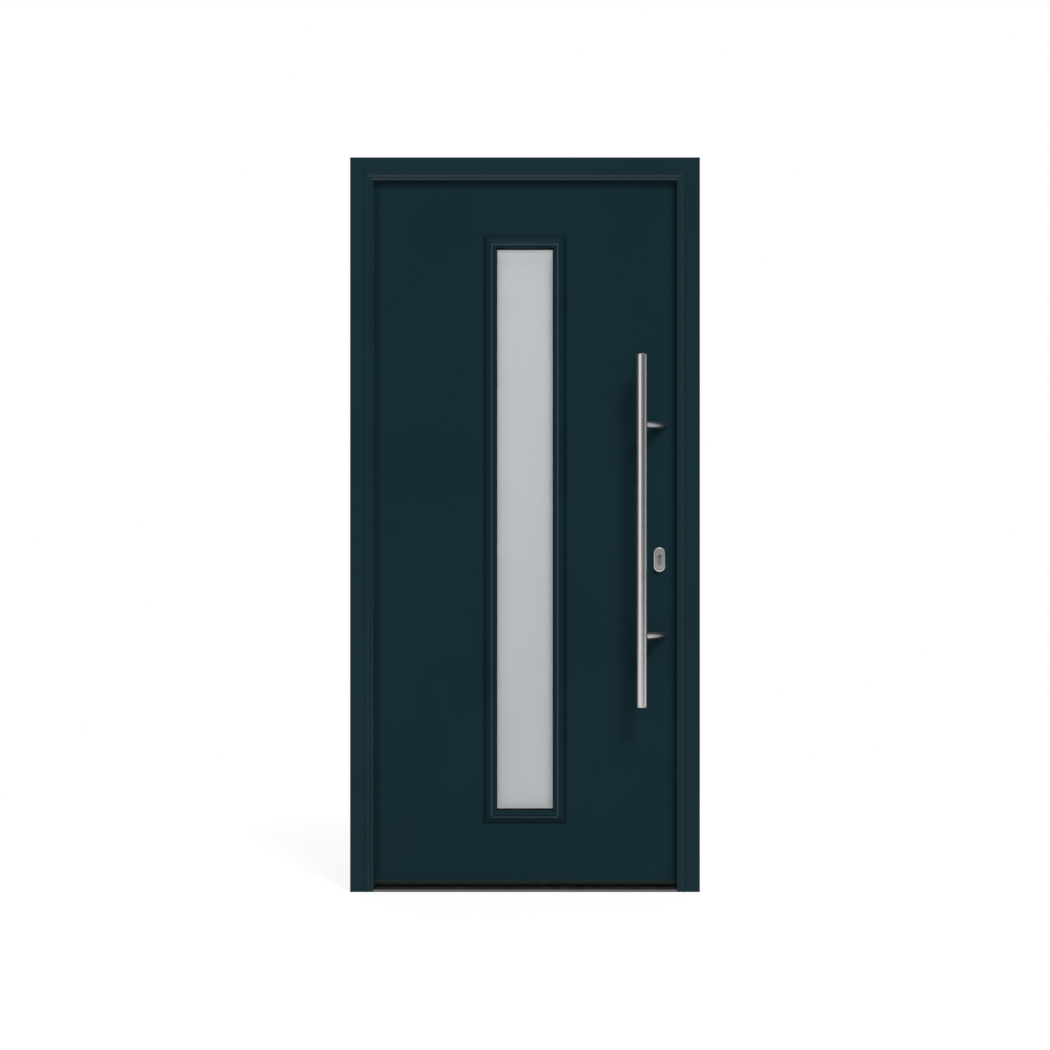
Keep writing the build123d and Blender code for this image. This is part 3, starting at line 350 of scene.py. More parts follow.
def paintedPostShade(finish, s):  # painted shade and reflection: the posts' colour darkens towards the leaf and on their underside
    y, z = finish.axes("YZ")
    posts = [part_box(node) for node in ("pull_post_lower", "pull_post_upper")]
    heights = [(low.z + high.z) / 2 for low, high in posts]
    upper = z > sum(heights) / 2
    local = z - upper * (heights[1] - heights[0]) - heights[0]
    along = finish.remap(y, s["from"], s["to"], s["near"], s["far"])
    return 1 - along * finish.remap(local, s["below"], s["above"], s["dark"], 1.0)


slotShade = {
    "from": 0.0003,
    "to": 0.0012,
    "wide": 0.0021,
    "tall": 0.0056,
    "soft": 0.0005,
    "shadeColour": (0.012, 0.012, 0.012, 1),
}


def paintedKeywayShade(finish, s):  # painted shade: the keyway is painted dark, in depth and where it breaks the plug's face
    low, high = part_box("key_plug")
    x, y, z = finish.axes("XYZ")
    aside = (x - (low.x + high.x) / 2).size()
    above = (z - (low.z + high.z) / 2).size()
    narrow = finish.remap(aside, s["wide"] - s["soft"], s["wide"], 1.0, 0.0)
    short = finish.remap(above, s["tall"] - s["soft"], s["tall"], 1.0, 0.0)
    deep = finish.remap(y, low.y + s["from"], low.y + s["to"], 0.0, 1.0)
    deep = deep * finish.remap(y, high.y - s["to"], high.y - s["from"], 1.0, 0.0)
    return deep.most(narrow * short)


rimShine = {"wide": 0.0026, "bright": white}


def paintedRimHighlight(finish, s):  # painted highlight: the oval's rim is painted lighter
    low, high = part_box("cylinder_rosette")
    x, z = finish.axes("XZ")
    radius = (high.x - low.x) / 2
    above = z - (low.z + high.z) / 2
    past = above.size() - ((high.z - low.z) / 2 - radius)
    sockets = {"X": x - (low.x + high.x) / 2, "Y": past.most(0.0)}
    corner = finish.add("ShaderNodeCombineXYZ", None, sockets)
    reach = finish.add("ShaderNodeVectorMath", {"operation": "LENGTH"}, {0: corner}, "Value")
    return finish.remap(reach, radius - s["wide"], radius - s["wide"] / 2, 0.0, 1.0)


def brushedMetal(name, look):
    finish = Finish(name)
    turn = (0, 0, math.radians(look.get("turn", 0)))
    streak = finish.noise(finish.stretched(look["along"], turn), 1.0, detail=4.0, rough=0.65)
    smear = finish.noise(finish.place, brushing["smear"], detail=3.0)
    blotch = look.get("blotch", 1.0)
    darker = shade(look["colour"], 1 - brushing["darker"] * blotch)
    lighter = shade(look["colour"], 1 + brushing["lighter"] * blotch)
    colour = finish.mix(finish.tone(streak, smear, brushing["smearShare"]), darker, lighter)
    if name == "post_steel":
        # painted shade on the posts towards the leaf and below
        colour = finish.mix(paintedPostShade(finish, postShade), colour, postShade["shadeColour"])
    if name == "plug_nickel":
        # painted shade in the keyway
        colour = finish.mix(paintedKeywayShade(finish, slotShade), colour, slotShade["shadeColour"])
    if name == "rosette_steel":
        # painted highlight on the rosette's rim
        colour = finish.mix(paintedRimHighlight(finish, rimShine), colour, rimShine["bright"])
    return finish.close(
        Base_Color=colour,
        Metallic=look["bare"],
        Roughness=finish.unevenRough(look["rough"], streak, smear, blotch),
        Normal=finish.bump(streak, brushing["bump"] * blotch, brushing["depth"]),
    )


rubber = {
    "gasket_rubber": {"colour": fromBytes(8, 25, 31), "rough": 0.66},
    "gap_rubber": {"colour": fromBytes(15, 36, 43), "rough": 0.66},
    "seal_rubber": {"colour": fromBytes(34, 45, 44), "rough": 0.70},
    "insulation": {"colour": fromBytes(26, 26, 28), "rough": 0.58},
}
rubberSkin = {
    "dust": 260.0,
    "dustSpan": (0.35, 0.75),
    "pale": 1.5,
    "dulling": 0.16,
    "skin": 1800.0,
    "bump": 0.3,
    "depth": 0.00005,
    "gloss": 0.06,
}


def softRubber(name, look):
    finish = Finish(name)
    s = rubberSkin
    dust = finish.noise(finish.place, s["dust"], detail=4.0, rough=0.7)
    skin = finish.noise(finish.place, s["skin"], detail=2.0)
    tone = finish.remap(dust, *s["dustSpan"], 0.0, 1.0)
    return finish.close(
        Base_Color=finish.mix(tone, look["colour"], shade(look["colour"], s["pale"])),
        Roughness=look["rough"] + dust * s["dulling"],
        Normal=finish.bump(skin, s["bump"], s["depth"]),
        Specular_IOR_Level=s["gloss"],
    )


glass = {
    "frosted": {
        "colour": fromBytes(213, 215, 218),
        "rough": 0.50,
        "dulling": 0.1,
        "through": 0.8,
        "index": 1.5,
        "frost": 1500.0,
        "haze": 3.0,
        "hazeShare": 0.3,
        "toneSpan": (0.1, 0.9),
        "bump": 0.2,
        "depth": 0.00004,
        "sightInset": 0.013,
        # painted light: foot and head make the pane darker below and lighter above, lift is a painted glow
        # near its head and foot
        "foot": 0.945,
        "head": 1.07,
        "lift": 0.11,
        "headReach": 0.040,
        "footReach": 0.016,
    },
    "clear": {
        "colour": (0.90, 0.94, 0.93, 1),
        "rough": 0.03,
        "index": 1.5,
        "smear": 9.0,
        "darker": 0.98,
        "dulling": 0.03,
    },
}


def frostedGlass(name, look):
    finish = Finish(name)
    frost = finish.noise(finish.place, look["frost"], detail=3.0)
    haze = finish.noise(finish.place, look["haze"], detail=3.0)
    low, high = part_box("pane_outer")
    foot, head = low.z + look["sightInset"], high.z - look["sightInset"]
    height = finish.axes("Z")[0]
    # painted light: the pane is darker towards its foot and lighter towards its head
    tone = finish.remap(height, foot, head, *look["toneSpan"]) + (haze - 0.5) * look["hazeShare"]
    # painted light: the pane glows faintly near its head and foot, where the reveal would shade it
    glow = finish.remap(head - height, 0.0, look["headReach"], look["lift"], 0.0)
    glow = glow + finish.remap(height - foot, 0.0, look["footReach"], look["lift"], 0.0)
    footColour = shade(look["colour"], look["foot"])
    headColour = shade(look["colour"], look["head"])
    return finish.close(
        Base_Color=finish.mix(tone, footColour, headColour),
        Emission_Color=finish.mix(glow, black, white),
        Emission_Strength=1.0,
        Roughness=look["rough"] + frost * look["dulling"],
        Normal=finish.bump(frost, look["bump"], look["depth"]),
        Transmission_Weight=look["through"],
        IOR=look["index"],
    )


def clearGlass(name, look):
    finish = Finish(name)
    smear = finish.noise(finish.place, look["smear"], detail=4.0, rough=0.6)
    tone = finish.remap(smear, *noiseSpan, 0.0, 1.0)
    return finish.close(
        Base_Color=finish.mix(tone, shade(look["colour"], look["darker"]), look["colour"]),
        Roughness=look["rough"] + smear * look["dulling"],
        Transmission_Weight=1.0,
        IOR=look["index"],
    )


foam = {
    "cells": 700.0,
    "pale": fromBytes(226, 212, 170),
    "deep": fromBytes(196, 178, 132),
    "rough": 0.85,
    "dulling": 0.1,
    "bump": 0.6,
    "depth": 0.0004,
}


def rigidFoam(name, look):
    finish = Finish(name)
    cells = finish.add("ShaderNodeTexVoronoi", None, {"Vector": finish.place, "Scale": look["cells"]})
    return finish.close(
        Base_Color=finish.mix(cells, look["pale"], look["deep"]),
        Roughness=look["rough"] + cells * look["dulling"],
        Normal=finish.bump(cells, look["bump"], look["depth"]),
    )


timber = {
    "grain": (110, 110, 3.0),
    "pores": (900, 900, 40),
    "early": fromBytes(176, 132, 84),
    "late": fromBytes(214, 178, 130),
    "poreShare": 0.2,
    "poreBump": 0.6,
    "rough": 0.6,
    "dulling": 0.15,
    "bump": 0.4,
    "depth": 0.0003,
}


def edgeTimber(name, look):
    finish = Finish(name)
    grain = finish.noise(finish.stretched(look["grain"]), 1.0, detail=5.0, rough=0.6)
    pores = finish.noise(finish.stretched(look["pores"]), 1.0, detail=2.0)
    return finish.close(
        Base_Color=finish.mix(finish.tone(grain, pores, look["poreShare"]), look["early"], look["late"]),
        Roughness=look["rough"] + pores * look["dulling"],
        Normal=finish.bump(finish.blend(grain, pores, look["poreBump"]), look["bump"], look["depth"]),
    )


finishes = {name: powderCoat(name, look) for name, look in paint.items()}
finishes.update({name: brushedMetal(name, look) for name, look in metal.items()})
finishes.update({name: softRubber(name, look) for name, look in rubber.items()})
finishes["frosted_glass"] = frostedGlass("frosted_glass", glass["frosted"])
finishes["clear_glass"] = clearGlass("clear_glass", glass["clear"])
finishes["foam"] = rigidFoam("foam", foam)
finishes["timber"] = edgeTimber("timber", timber)
special = {  # pieces with a finish of their own
    "threshold": "threshold_grey",
    "frame_gasket": "gap_rubber",
    "key_plug": "plug_nickel",
    "cylinder_rosette": "rosette_steel",
}
for node, piece in nodes.items():
    piece.data.materials.clear()
    piece.data.materials.append(finishes[special.get(node, slotOf[node])])
print("finishes mixed:", len(finishes))


# mesh helpers
def newPiece(name, mesh):
    piece = bpy.data.objects.new(name, mesh)
    scene.collection.objects.link(piece)
    return piece


def settle(piece):
    graph = bpy.context.evaluated_depsgraph_get()
    mesh = bpy.data.meshes.new_from_object(piece.evaluated_get(graph))
    piece.modifiers.clear()
    piece.data = mesh
    return piece


crease = {"moulding": 14, "turned": 34, "post": 50, "screw": 30}  # degrees past which an edge stays sharp
weld = {"own": 1e-6, "drawn": 2e-6}  # points nearer than this are one point


def smooth(mesh, degrees):
    mesh.shade_smooth()
    mesh.set_sharp_from_angle(angle=math.radians(degrees))


def turnOutwards(mesh):
    work = bmesh.new()
    work.from_mesh(mesh)
    bmesh.ops.remove_doubles(work, verts=work.verts, dist=weld["own"])
    bmesh.ops.recalc_face_normals(work, faces=work.faces)
    work.to_mesh(mesh)
    work.free()


def joinPieces(name, pieces, material, degrees):
    work = bmesh.new()
    for piece in pieces:
        work.from_mesh(piece.data)
        bpy.data.objects.remove(piece)
    mesh = bpy.data.meshes.new(name)
    work.to_mesh(mesh)
    work.free()
    mesh.materials.append(material)
    smooth(mesh, degrees)
    return newPiece(name, mesh)


def ringFaces(count, sides):  # quads from ring to ring and a cap at each end
    faces = []
    for row in range(count - 1):
        near, far = row * sides, (row + 1) * sides
        for i in range(sides):
            j = (i + 1) % sides
            faces.append((near + i, near + j, far + j, far + i))
    faces.append(tuple(reversed(range(sides))))
    faces.append(tuple(range((count - 1) * sides, count * sides)))
    return faces


def standFor(piece, *replaced):
    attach(piece, bodyOf[replaced[0]])
    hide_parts(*replaced)
    return piece


arcMiddle = 1 - math.sqrt(0.5)  # from a corner to the middle of its quarter round, for a radius of 1


def arcThrough(start, middle, end, steps):
    ax, ay = start
    bx, by = middle
    cx, cy = end
    a, b, c = ax * ax + ay * ay, bx * bx + by * by, cx * cx + cy * cy
    d = 2 * (ax * (by - cy) + bx * (cy - ay) + cx * (ay - by))
    ux = (a * (by - cy) + b * (cy - ay) + c * (ay - by)) / d
    uy = (a * (cx - bx) + b * (ax - cx) + c * (bx - ax)) / d
    radius = math.hypot(ax - ux, ay - uy)
    first = math.atan2(ay - uy, ax - ux)
    span = math.atan2(cy - uy, cx - ux) - first
    half = math.atan2(by - uy, bx - ux) - first
    span = span % math.tau
    if half % math.tau > span:
        span -= math.tau
    turns = [first + span * i / steps for i in range(1, steps + 1)]
    return [(ux + radius * math.cos(turn), uy + radius * math.sin(turn)) for turn in turns]


def newGroup(name, inputs, output):
    group = bpy.data.node_groups.new(name, "GeometryNodeTree")
    for label, kind in inputs.items():
        group.interface.new_socket(label, in_out="INPUT", socket_type="NodeSocket" + kind)
    group.interface.new_socket(output, in_out="OUTPUT", socket_type="NodeSocketGeometry")
    tree = Tree(group)
    return group, tree, {label: tree.add("NodeGroupInput", out=label) for label in inputs}


# moulded runs: a section pushed along its length, with both ends cut to a mitre
runInputs = {
    "Section": "Geometry",
    "Length": "Float",
    "Start Mitre": "Float",
    "End Mitre": "Float",
    "Coat": "Material",
}


def buildMouldedRun():
    group, tree, given = newGroup("mouldedRun", runInputs, "Run")
    push = tree.add("ShaderNodeCombineXYZ", None, {"Z": given["Length"]})
    pushed = tree.add("GeometryNodeExtrudeMesh", {"mode": "FACES"}, {
        "Mesh": given["Section"], "Offset": push, "Offset Scale": 1.0, "Individual": False})
    foot = tree.add("GeometryNodeFlipFaces", None, {"Mesh": given["Section"]})
    joined = group.nodes.new("GeometryNodeJoinGeometry")
    group.links.new(pushed.socket, joined.inputs[0])
    group.links.new(foot.socket, joined.inputs[0])
    merged = tree.add("GeometryNodeMergeByDistance", None, {
        "Geometry": Wire(group, joined.outputs[0]), "Distance": weld["own"]})
    place = tree.add("GeometryNodeInputPosition")
    across, along = (tree.add("ShaderNodeSeparateXYZ", None, {0: place}, axis) for axis in "XZ")
    atEnd = along > given["Length"] * 0.5
    shift = across * ((1 - atEnd) * given["Start Mitre"] - atEnd * given["End Mitre"])
    cut = tree.add("GeometryNodeSetPosition", None, {
        "Geometry": merged, "Offset": tree.add("ShaderNodeCombineXYZ", None, {"Z": shift})})
    real = tree.add("GeometryNodeRealizeInstances", None, {"Geometry": cut})
    coated = tree.add("GeometryNodeSetMaterial", None, {"Geometry": real, "Material": given["Coat"]})
    tree.add("NodeGroupOutput", None, {"Run": coated})
    return group


mouldedRun = buildMouldedRun()


def setInputs(modifier, values):
    for item in modifier.node_group.interface.items_tree:
        if item.item_type == "SOCKET" and item.in_out == "INPUT" and item.name in values:
            modifier[item.identifier] = values[item.name]


def mouldedPiece(name, section, length, mitres, coat, axes):
    mesh = bpy.data.meshes.new(name)
    mesh.from_pydata([(u, v, 0.0) for u, v in section], [], [list(range(len(section)))])
    piece = newPiece(name, mesh)
    modifier = piece.modifiers.new("run", "NODES")
    modifier.node_group = mouldedRun
    startMitre, endMitre = mitres
    setInputs(modifier, {"Length": length, "Start Mitre": startMitre, "End Mitre": endMitre, "Coat": coat})
    settle(piece)
    origin, uAxis, vAxis, wAxis = (Vector(part) for part in axes)
    turn = Matrix((uAxis, vAxis, wAxis)).transposed().to_4x4()
    piece.data.transform(Matrix.Translation(origin) @ turn)
    turnOutwards(piece.data)
    smooth(piece.data, crease["moulding"])
    return piece


frameMoulding = {
    "face": 0.0668,
    "rebate": 0.045,
    "depth": 0.026,
    "lipBack": 0.010,
    "quirkAt": 0.0392,
    "quirkDepth": 0.0008,
    "beadAt": 0.0424,
    "beadRise": 0.0016,
    "beadNose": 0.0014,
    "hollowAt": 0.0568,
    "hollowDepth": 0.0012,
    "edgeAt": 0.0576,
    "edgeRise": 0.0010,
    "edgeNose": 0.0010,
    "edgeDrop": 0.0042,
    "outerRounding": 0.0012,
    "seam": 0.00012,
    "arcSteps": 10,
    "fallSteps": 24,
}


def noseAndFall(points, at, rise, nose, end, s):  # a quarter round up to the crest, then a long fall
    points.append((at, nose - rise))
    middle = (at + nose * arcMiddle, nose * arcMiddle - rise)
    points += arcThrough(points[-1], middle, (at + nose, -rise), s["arcSteps"])
    crest = points[-1]
    reach, drop = end[0] - crest[0], end[1] - crest[1]
    radius = (reach * reach + drop * drop) / (2 * drop)
    turn = 2 * math.atan2(drop, reach)
    for i in range(1, s["fallSteps"] + 1):
        angle = turn * i / s["fallSteps"]
        points.append((crest[0] + radius * math.sin(angle), crest[1] + radius * (1 - math.cos(angle))))


def frameSection(s):
    r = s["outerRounding"]
    mid = r * arcMiddle
    points = [(0.0, s["depth"]), (0.0, r)]
    points += arcThrough(points[-1], (mid, mid), (r, 0.0), s["arcSteps"])
    points.append((s["quirkAt"], 0.0))
    quirk = (s["quirkAt"] + s["beadAt"]) / 2, s["quirkDepth"]
    points += arcThrough(points[-1], quirk, (s["beadAt"], s["quirkDepth"] / 2), s["arcSteps"])
    noseAndFall(points, s["beadAt"], s["beadRise"], s["beadNose"], (s["hollowAt"], s["hollowDepth"]), s)
    noseAndFall(points, s["edgeAt"], s["edgeRise"], s["edgeNose"], (s["face"], s["edgeDrop"]), s)
    points += [(s["face"], s["lipBack"]), (s["rebate"], s["lipBack"]), (s["rebate"], s["depth"])]
    return points


def buildFrameMoulding(s):
    section = frameSection(s)
    low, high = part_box("jamb_outer_left")
    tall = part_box("head_outer")[1].z
    half = -low.x
    front = high.y - s["depth"]
    wide = 2 * half
    coat = finishes["frame_coat"]
    gap = s["seam"]
    for side, way in (("left", 1), ("right", -1)):
        axes = (-way * half, front, 0.0), (way, 0, 0), (0, 1, 0), (0, 0, 1)
        jamb = mouldedPiece(side + "JambMoulding", section, tall - gap, (0.0, 1.0), coat, axes)
        standFor(jamb, "jamb_outer_" + side)
    axes = (-half + gap, front, tall), (0, 0, -1), (0, 1, 0), (1, 0, 0)
    head = mouldedPiece("headMoulding", section, wide - 2 * gap, (1.0, 1.0), coat, axes)
    standFor(head, "head_outer")


buildFrameMoulding(frameMoulding)

trimMoulding = {
    "band": 0.034,
    "leg": 0.018,
    "lipWidth": 0.0026,
    "lipRise": 0.0035,
    "groove": 0.0006,
    "coveWidth": 0.0149,
    "coveHollow": 0.0006,
    "coveRise": 0.0072,
    "beadWidth": 0.007,
    "crestRise": 0.0105,
    "fallRise": 0.0082,
    "sightRise": 0.0065,
    "rounding": 0.0011,
    "cornerSteps": 10,
    "coveSteps": 12,
    "beadSteps": 18,
}


def trimSection(s, side, legDepth):
    grooveAt = s["lipWidth"] + s["groove"]
    grooveRise = s["lipRise"] - s["groove"]
    coveEnd = grooveAt + s["coveWidth"]
    hollow = grooveAt + s["coveWidth"] / 2, (grooveRise + s["coveRise"]) / 2 - s["coveHollow"]
    crest = coveEnd + s["beadWidth"] / 2, s["crestRise"]
    beadEnd = coveEnd + s["beadWidth"]
    r = s["rounding"]
    mid = r * arcMiddle
    sight = s["band"] - mid, s["sightRise"] - mid
    points = [(0.0, 0.0), (0.0, s["lipRise"] - r)]
    points += arcThrough(points[-1], (mid, s["lipRise"] - mid), (r, s["lipRise"]), s["cornerSteps"])
    points += [(s["lipWidth"], s["lipRise"]), (grooveAt, grooveRise)]
    points += arcThrough(points[-1], hollow, (coveEnd, s["coveRise"]), s["coveSteps"])
    points += arcThrough(points[-1], crest, (beadEnd, s["fallRise"]), s["beadSteps"])
    points.append((s["band"] - r, s["sightRise"]))
    points += arcThrough(points[-1], sight, (s["band"], s["sightRise"] - r), s["cornerSteps"])
    points += [(s["band"], -legDepth), (s["leg"], -legDepth), (s["leg"], 0.0)]
    return [(u, side * v) for u, v in points]


def buildTrim(node, side, s):
    low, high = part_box(node)
    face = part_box("skin_outer")[0].y if side < 0 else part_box("skin_inner")[1].y
    section = trimSection(s, side, high.y - face if side < 0 else face - low.y)
    wide = high.x - low.x
    tall = high.z - low.z
    coat = finishes["trim_coat"]
    runs = (
        (tall, ((low.x, face, low.z), (1, 0, 0), (0, 1, 0), (0, 0, 1))),
        (tall, ((high.x, face, low.z), (-1, 0, 0), (0, 1, 0), (0, 0, 1))),
        (wide, ((low.x, face, low.z), (0, 0, 1), (0, 1, 0), (1, 0, 0))),
        (wide, ((low.x, face, high.z), (0, 0, -1), (0, 1, 0), (1, 0, 0))),
    )
    pieces = (
        mouldedPiece(f"{node}Run{index}", section, length, (1.0, 1.0), coat, axes)
        for index, (length, axes) in enumerate(runs)
    )
    standFor(joinPieces(node + "Moulding", pieces, coat, crease["moulding"]), node)


buildTrim("trim_outer", -1, trimMoulding)
buildTrim("trim_inner", 1, trimMoulding)
print("mouldings run: frame and glazing trim")


# pull bar, its caps and its slanting posts
pullBar = {
    "sides": 96,
    "tubeRings": 8,
    "tubeRounding": 0.0003,
    "capGroove": 0.0004,
    "grooveDepth": 0.0012,
    "grooveFlare": 1.6,
    "capLap": 0.0001,
    "capRounding": 0.0012,
    "capSteps": 5,
    "capCentre": 0.4,
    "postSides": 72,
    "postRadius": 0.011,
    "postLap": 0.0002,
    "weldFlare": (0.0011, 0.00055, 0.0002, 0.0),
    "weldSteps": (0.0, 0.0006, 0.0014, 0.0026),
    "postRings": 10,
}


def lathe(name, rings, sides, centre, material):
    x, y = centre
    points = []
    for radius, z in rings:
        for i in range(sides):
            angle = math.tau * i / sides
            points.append((x + radius * math.cos(angle), y + radius * math.sin(angle), z))
    mesh = bpy.data.meshes.new(name)
    mesh.from_pydata(points, [], ringFaces(len(rings), sides))
    mesh.materials.append(material)
    turnOutwards(mesh)
    smooth(mesh, crease["turned"])
    return newPiece(name, mesh)


def capRings(radius, seamZ, endZ, s):
    way = 1 if endZ > seamZ else -1
    r = s["capRounding"]
    grooveFloor = radius - s["grooveDepth"]
    rings = [
        (grooveFloor, seamZ - way * s["capLap"]),
        (grooveFloor, seamZ + way * s["capGroove"]),
        (radius, seamZ + way * s["capGroove"] * s["grooveFlare"]),
        (radius, endZ - way * r),
    ]
    for i in range(1, s["capSteps"] + 1):
        angle = math.pi / 2 * i / s["capSteps"]
        rings.append((radius - r + r * math.cos(angle), endZ - way * r + way * r * math.sin(angle)))
    return rings + [(radius * s["capCentre"], endZ)]


def buildPullBar(s):
    low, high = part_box("pull_bar")
    capLow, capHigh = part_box("pull_end_caps")
    centre = ((low.x + high.x) / 2, (low.y + high.y) / 2)
    radius = (high.x - low.x) / 2
    steel = finishes["stainless"]
    edge = s["tubeRounding"]
    count = s["tubeRings"]
    rings = [(radius - edge, low.z), (radius, low.z + edge)]
    rings += [(radius, low.z + (high.z - low.z) * i / count) for i in range(1, count)]
    rings += [(radius, high.z - edge), (radius - edge, high.z)]
    standFor(lathe("pullBarTube", rings, s["sides"], centre, steel), "pull_bar")
    caps = (
        lathe("pullBarCap", capRings(radius, seam, end, s), s["sides"], centre, steel)
        for seam, end in ((low.z, capLow.z), (high.z, capHigh.z))
    )
    standFor(joinPieces("pullBarCaps", caps, steel, crease["turned"]), "pull_end_caps")
    return centre, radius


def buildPost(node, barCentre, barRadius, s):
    low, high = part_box(node)
    z = (low.z + high.z) / 2
    wall = high.y
    axis = Vector((1, 1, 0)).normalized()
    side = Vector((1, -1, 0)).normalized()
    start = Vector((barCentre[0], barCentre[1], z))
    sides = s["postSides"]

    def barDistance(offset):  # along the post from the bar's axis to the bar's surface
        reach = barRadius - s["postLap"]
        return math.sqrt(max(reach * reach - offset * offset, 0.0))

    points = []
    last = len(s["weldSteps"]) + s["postRings"] - 1
    for ring in range(last + 1):
        for i in range(sides):
            angle = math.tau * i / sides
            c, u = math.cos(angle), math.sin(angle)
            grow = s["weldFlare"][ring] if ring < len(s["weldFlare"]) else 0.0
            r = s["postRadius"] + grow
            near = barDistance(r * c)
            far = (wall - start.y - side.y * r * c) / axis.y
            if ring < len(s["weldSteps"]):
                t = near + s["weldSteps"][ring]
            else:
                share = (ring - len(s["weldSteps"]) + 1) / s["postRings"]
                t = near + s["weldSteps"][-1] + (far - near - s["weldSteps"][-1]) * share
            points.append(start + axis * t + side * (r * c) + Vector((0, 0, r * u)))
    mesh = bpy.data.meshes.new(node + "Rod")
    mesh.from_pydata(points, [], ringFaces(last + 1, sides))
    mesh.materials.append(finishes["post_steel"])
    turnOutwards(mesh)
    smooth(mesh, crease["post"])
    standFor(newPiece(node + "Rod", mesh), node)


barCentre, barRadius = buildPullBar(pullBar)
buildPost("pull_post_lower", barCentre, barRadius, pullBar)
buildPost("pull_post_upper", barCentre, barRadius, pullBar)
print("pull bar turned")


# drawn pieces that show get their edges rounded, each by its own width
hingePlaces = ("lower", "middle", "upper")
edgeRounding = {
    "threshold": 0.0009,
    "bottom_seal": 0.0010,
    "glazing_gaskets": 0.0009,
    "pane_outer": 0.0008,
    "pane_inner": 0.0008,
    "skin_outer": 0.0008,
    "skin_inner": 0.0008,
    "jamb_inner_left": 0.0009,
    "jamb_inner_right": 0.0009,
    "head_inner": 0.0009,
    **{f"hinge_{part}_wing_{place}": 0.0006 for part in ("frame", "leaf") for place in hingePlaces},
    "hinge_pins": 0.0007,
    "lock_faceplate": 0.0004,
    "strike_centre": 0.0003,
    "strike_lower": 0.0004,
    "strike_upper": 0.0004,
    "strike_keeper": 0.0005,
    "latch_bolt": 0.0006,
    "dead_bolt": 0.0006,
    "hook_lower": 0.0005,
    "hook_upper": 0.0005,
    "cylinder_rosette": 0.0005,
    "cylinder_body": 0.0003,
    "key_plug": 0.00025,
    "inside_plate": 0.0003,
    "inside_lever": 0.0003,
    "pull_bolts": 0.0007,
    "frame_gasket": 0.0003,
}
roundingLook = {"segments": 3, "from": 38, "flat": 0.6}  # degrees for the last two


def roundEdges(node, width, s):
    mesh = nodes[node].data.copy()
    mesh.name = node + "Rounded"
    work = bmesh.new()
    work.from_mesh(mesh)
    bmesh.ops.remove_doubles(work, verts=work.verts, dist=weld["drawn"])
    bmesh.ops.dissolve_limit(work, angle_limit=math.radians(s["flat"]), verts=work.verts, edges=work.edges)
    work.to_mesh(mesh)
    work.free()
    piece = newPiece(node + "Rounded", mesh)
    mesh.shade_smooth()
    bevel = piece.modifiers.new("rounding", "BEVEL")
    bevel.width = width
    bevel.segments = s["segments"]
    bevel.limit_method = "ANGLE"
    bevel.angle_limit = math.radians(s["from"])
    bevel.use_clamp_overlap = True
    flats = piece.modifiers.new("flats", "WEIGHTED_NORMAL")
    flats.keep_sharp = True
    settle(piece)
    standFor(piece, node)


for node, width in edgeRounding.items():
    roundEdges(node, width, roundingLook)
print("edges rounded:", len(edgeRounding))


# screws: one head with a cross recess, set on the drawn screws
screwHead = {
    "radius": 0.0044,
    "height": 0.0014,
    "crown": 0.00025,
    "crownShare": 0.80,
    "arm": 0.0026,
    "armHalf": 0.00055,
    "recess": 0.0011,
    "recessShare": 0.8,
    "shankRadius": 0.0023,
    "shankLength": 0.0145,
    "sides": 28,
    "seed": 7,
}


def screwShape(s):
    work = bmesh.new()
    sides = s["sides"]

    def ring(radius, z):
        angles = [math.tau * i / sides for i in range(sides)]
        return [work.verts.new((radius * math.cos(angle), radius * math.sin(angle), z)) for angle in angles]

    rims = [
        ring(s["radius"] * s["crownShare"], 0.0),
        ring(s["radius"], -s["crown"]),
        ring(s["radius"], -s["height"]),
        ring(s["shankRadius"], -s["height"]),
        ring(s["shankRadius"], -s["height"] - s["shankLength"]),
    ]
    for upper, lower in zip(rims, rims[1:]):
        for i in range(sides):
            j = (i + 1) % sides
            work.faces.new((upper[i], lower[i], lower[j], upper[j]))
    work.faces.new(list(reversed(rims[-1])))
    a, h = s["arm"], s["armHalf"]
    cross = [(a, -h), (a, h), (h, h), (h, a), (-h, a), (-h, h)]
    cross += [(-x, -y) for x, y in cross]
    share = s["recessShare"]
    lip = [work.verts.new((x, y, 0.0)) for x, y in cross]
    bottom = [work.verts.new((x * share, y * share, -s["recess"])) for x, y in cross]
    count = len(cross)
    for i in range(count):
        j = (i + 1) % count
        work.faces.new((lip[i], lip[j], bottom[j], bottom[i]))
    work.faces.new(bottom)
    edges = [work.edges.get((rims[0][i], rims[0][(i + 1) % sides])) for i in range(sides)]
    edges += [work.edges.get((lip[i], lip[(i + 1) % count])) for i in range(count)]
    bmesh.ops.triangle_fill(work, use_beauty=True, use_dissolve=False, edges=edges)
    bmesh.ops.recalc_face_normals(work, faces=work.faces)
    mesh = bpy.data.meshes.new("screwShape")
    work.to_mesh(mesh)
    work.free()
    smooth(mesh, crease["screw"])
    return newPiece("screwShape", mesh)


screwInputs = {"Places": "Geometry", "Screw": "Object", "Seed": "Int", "Plating": "Material"}


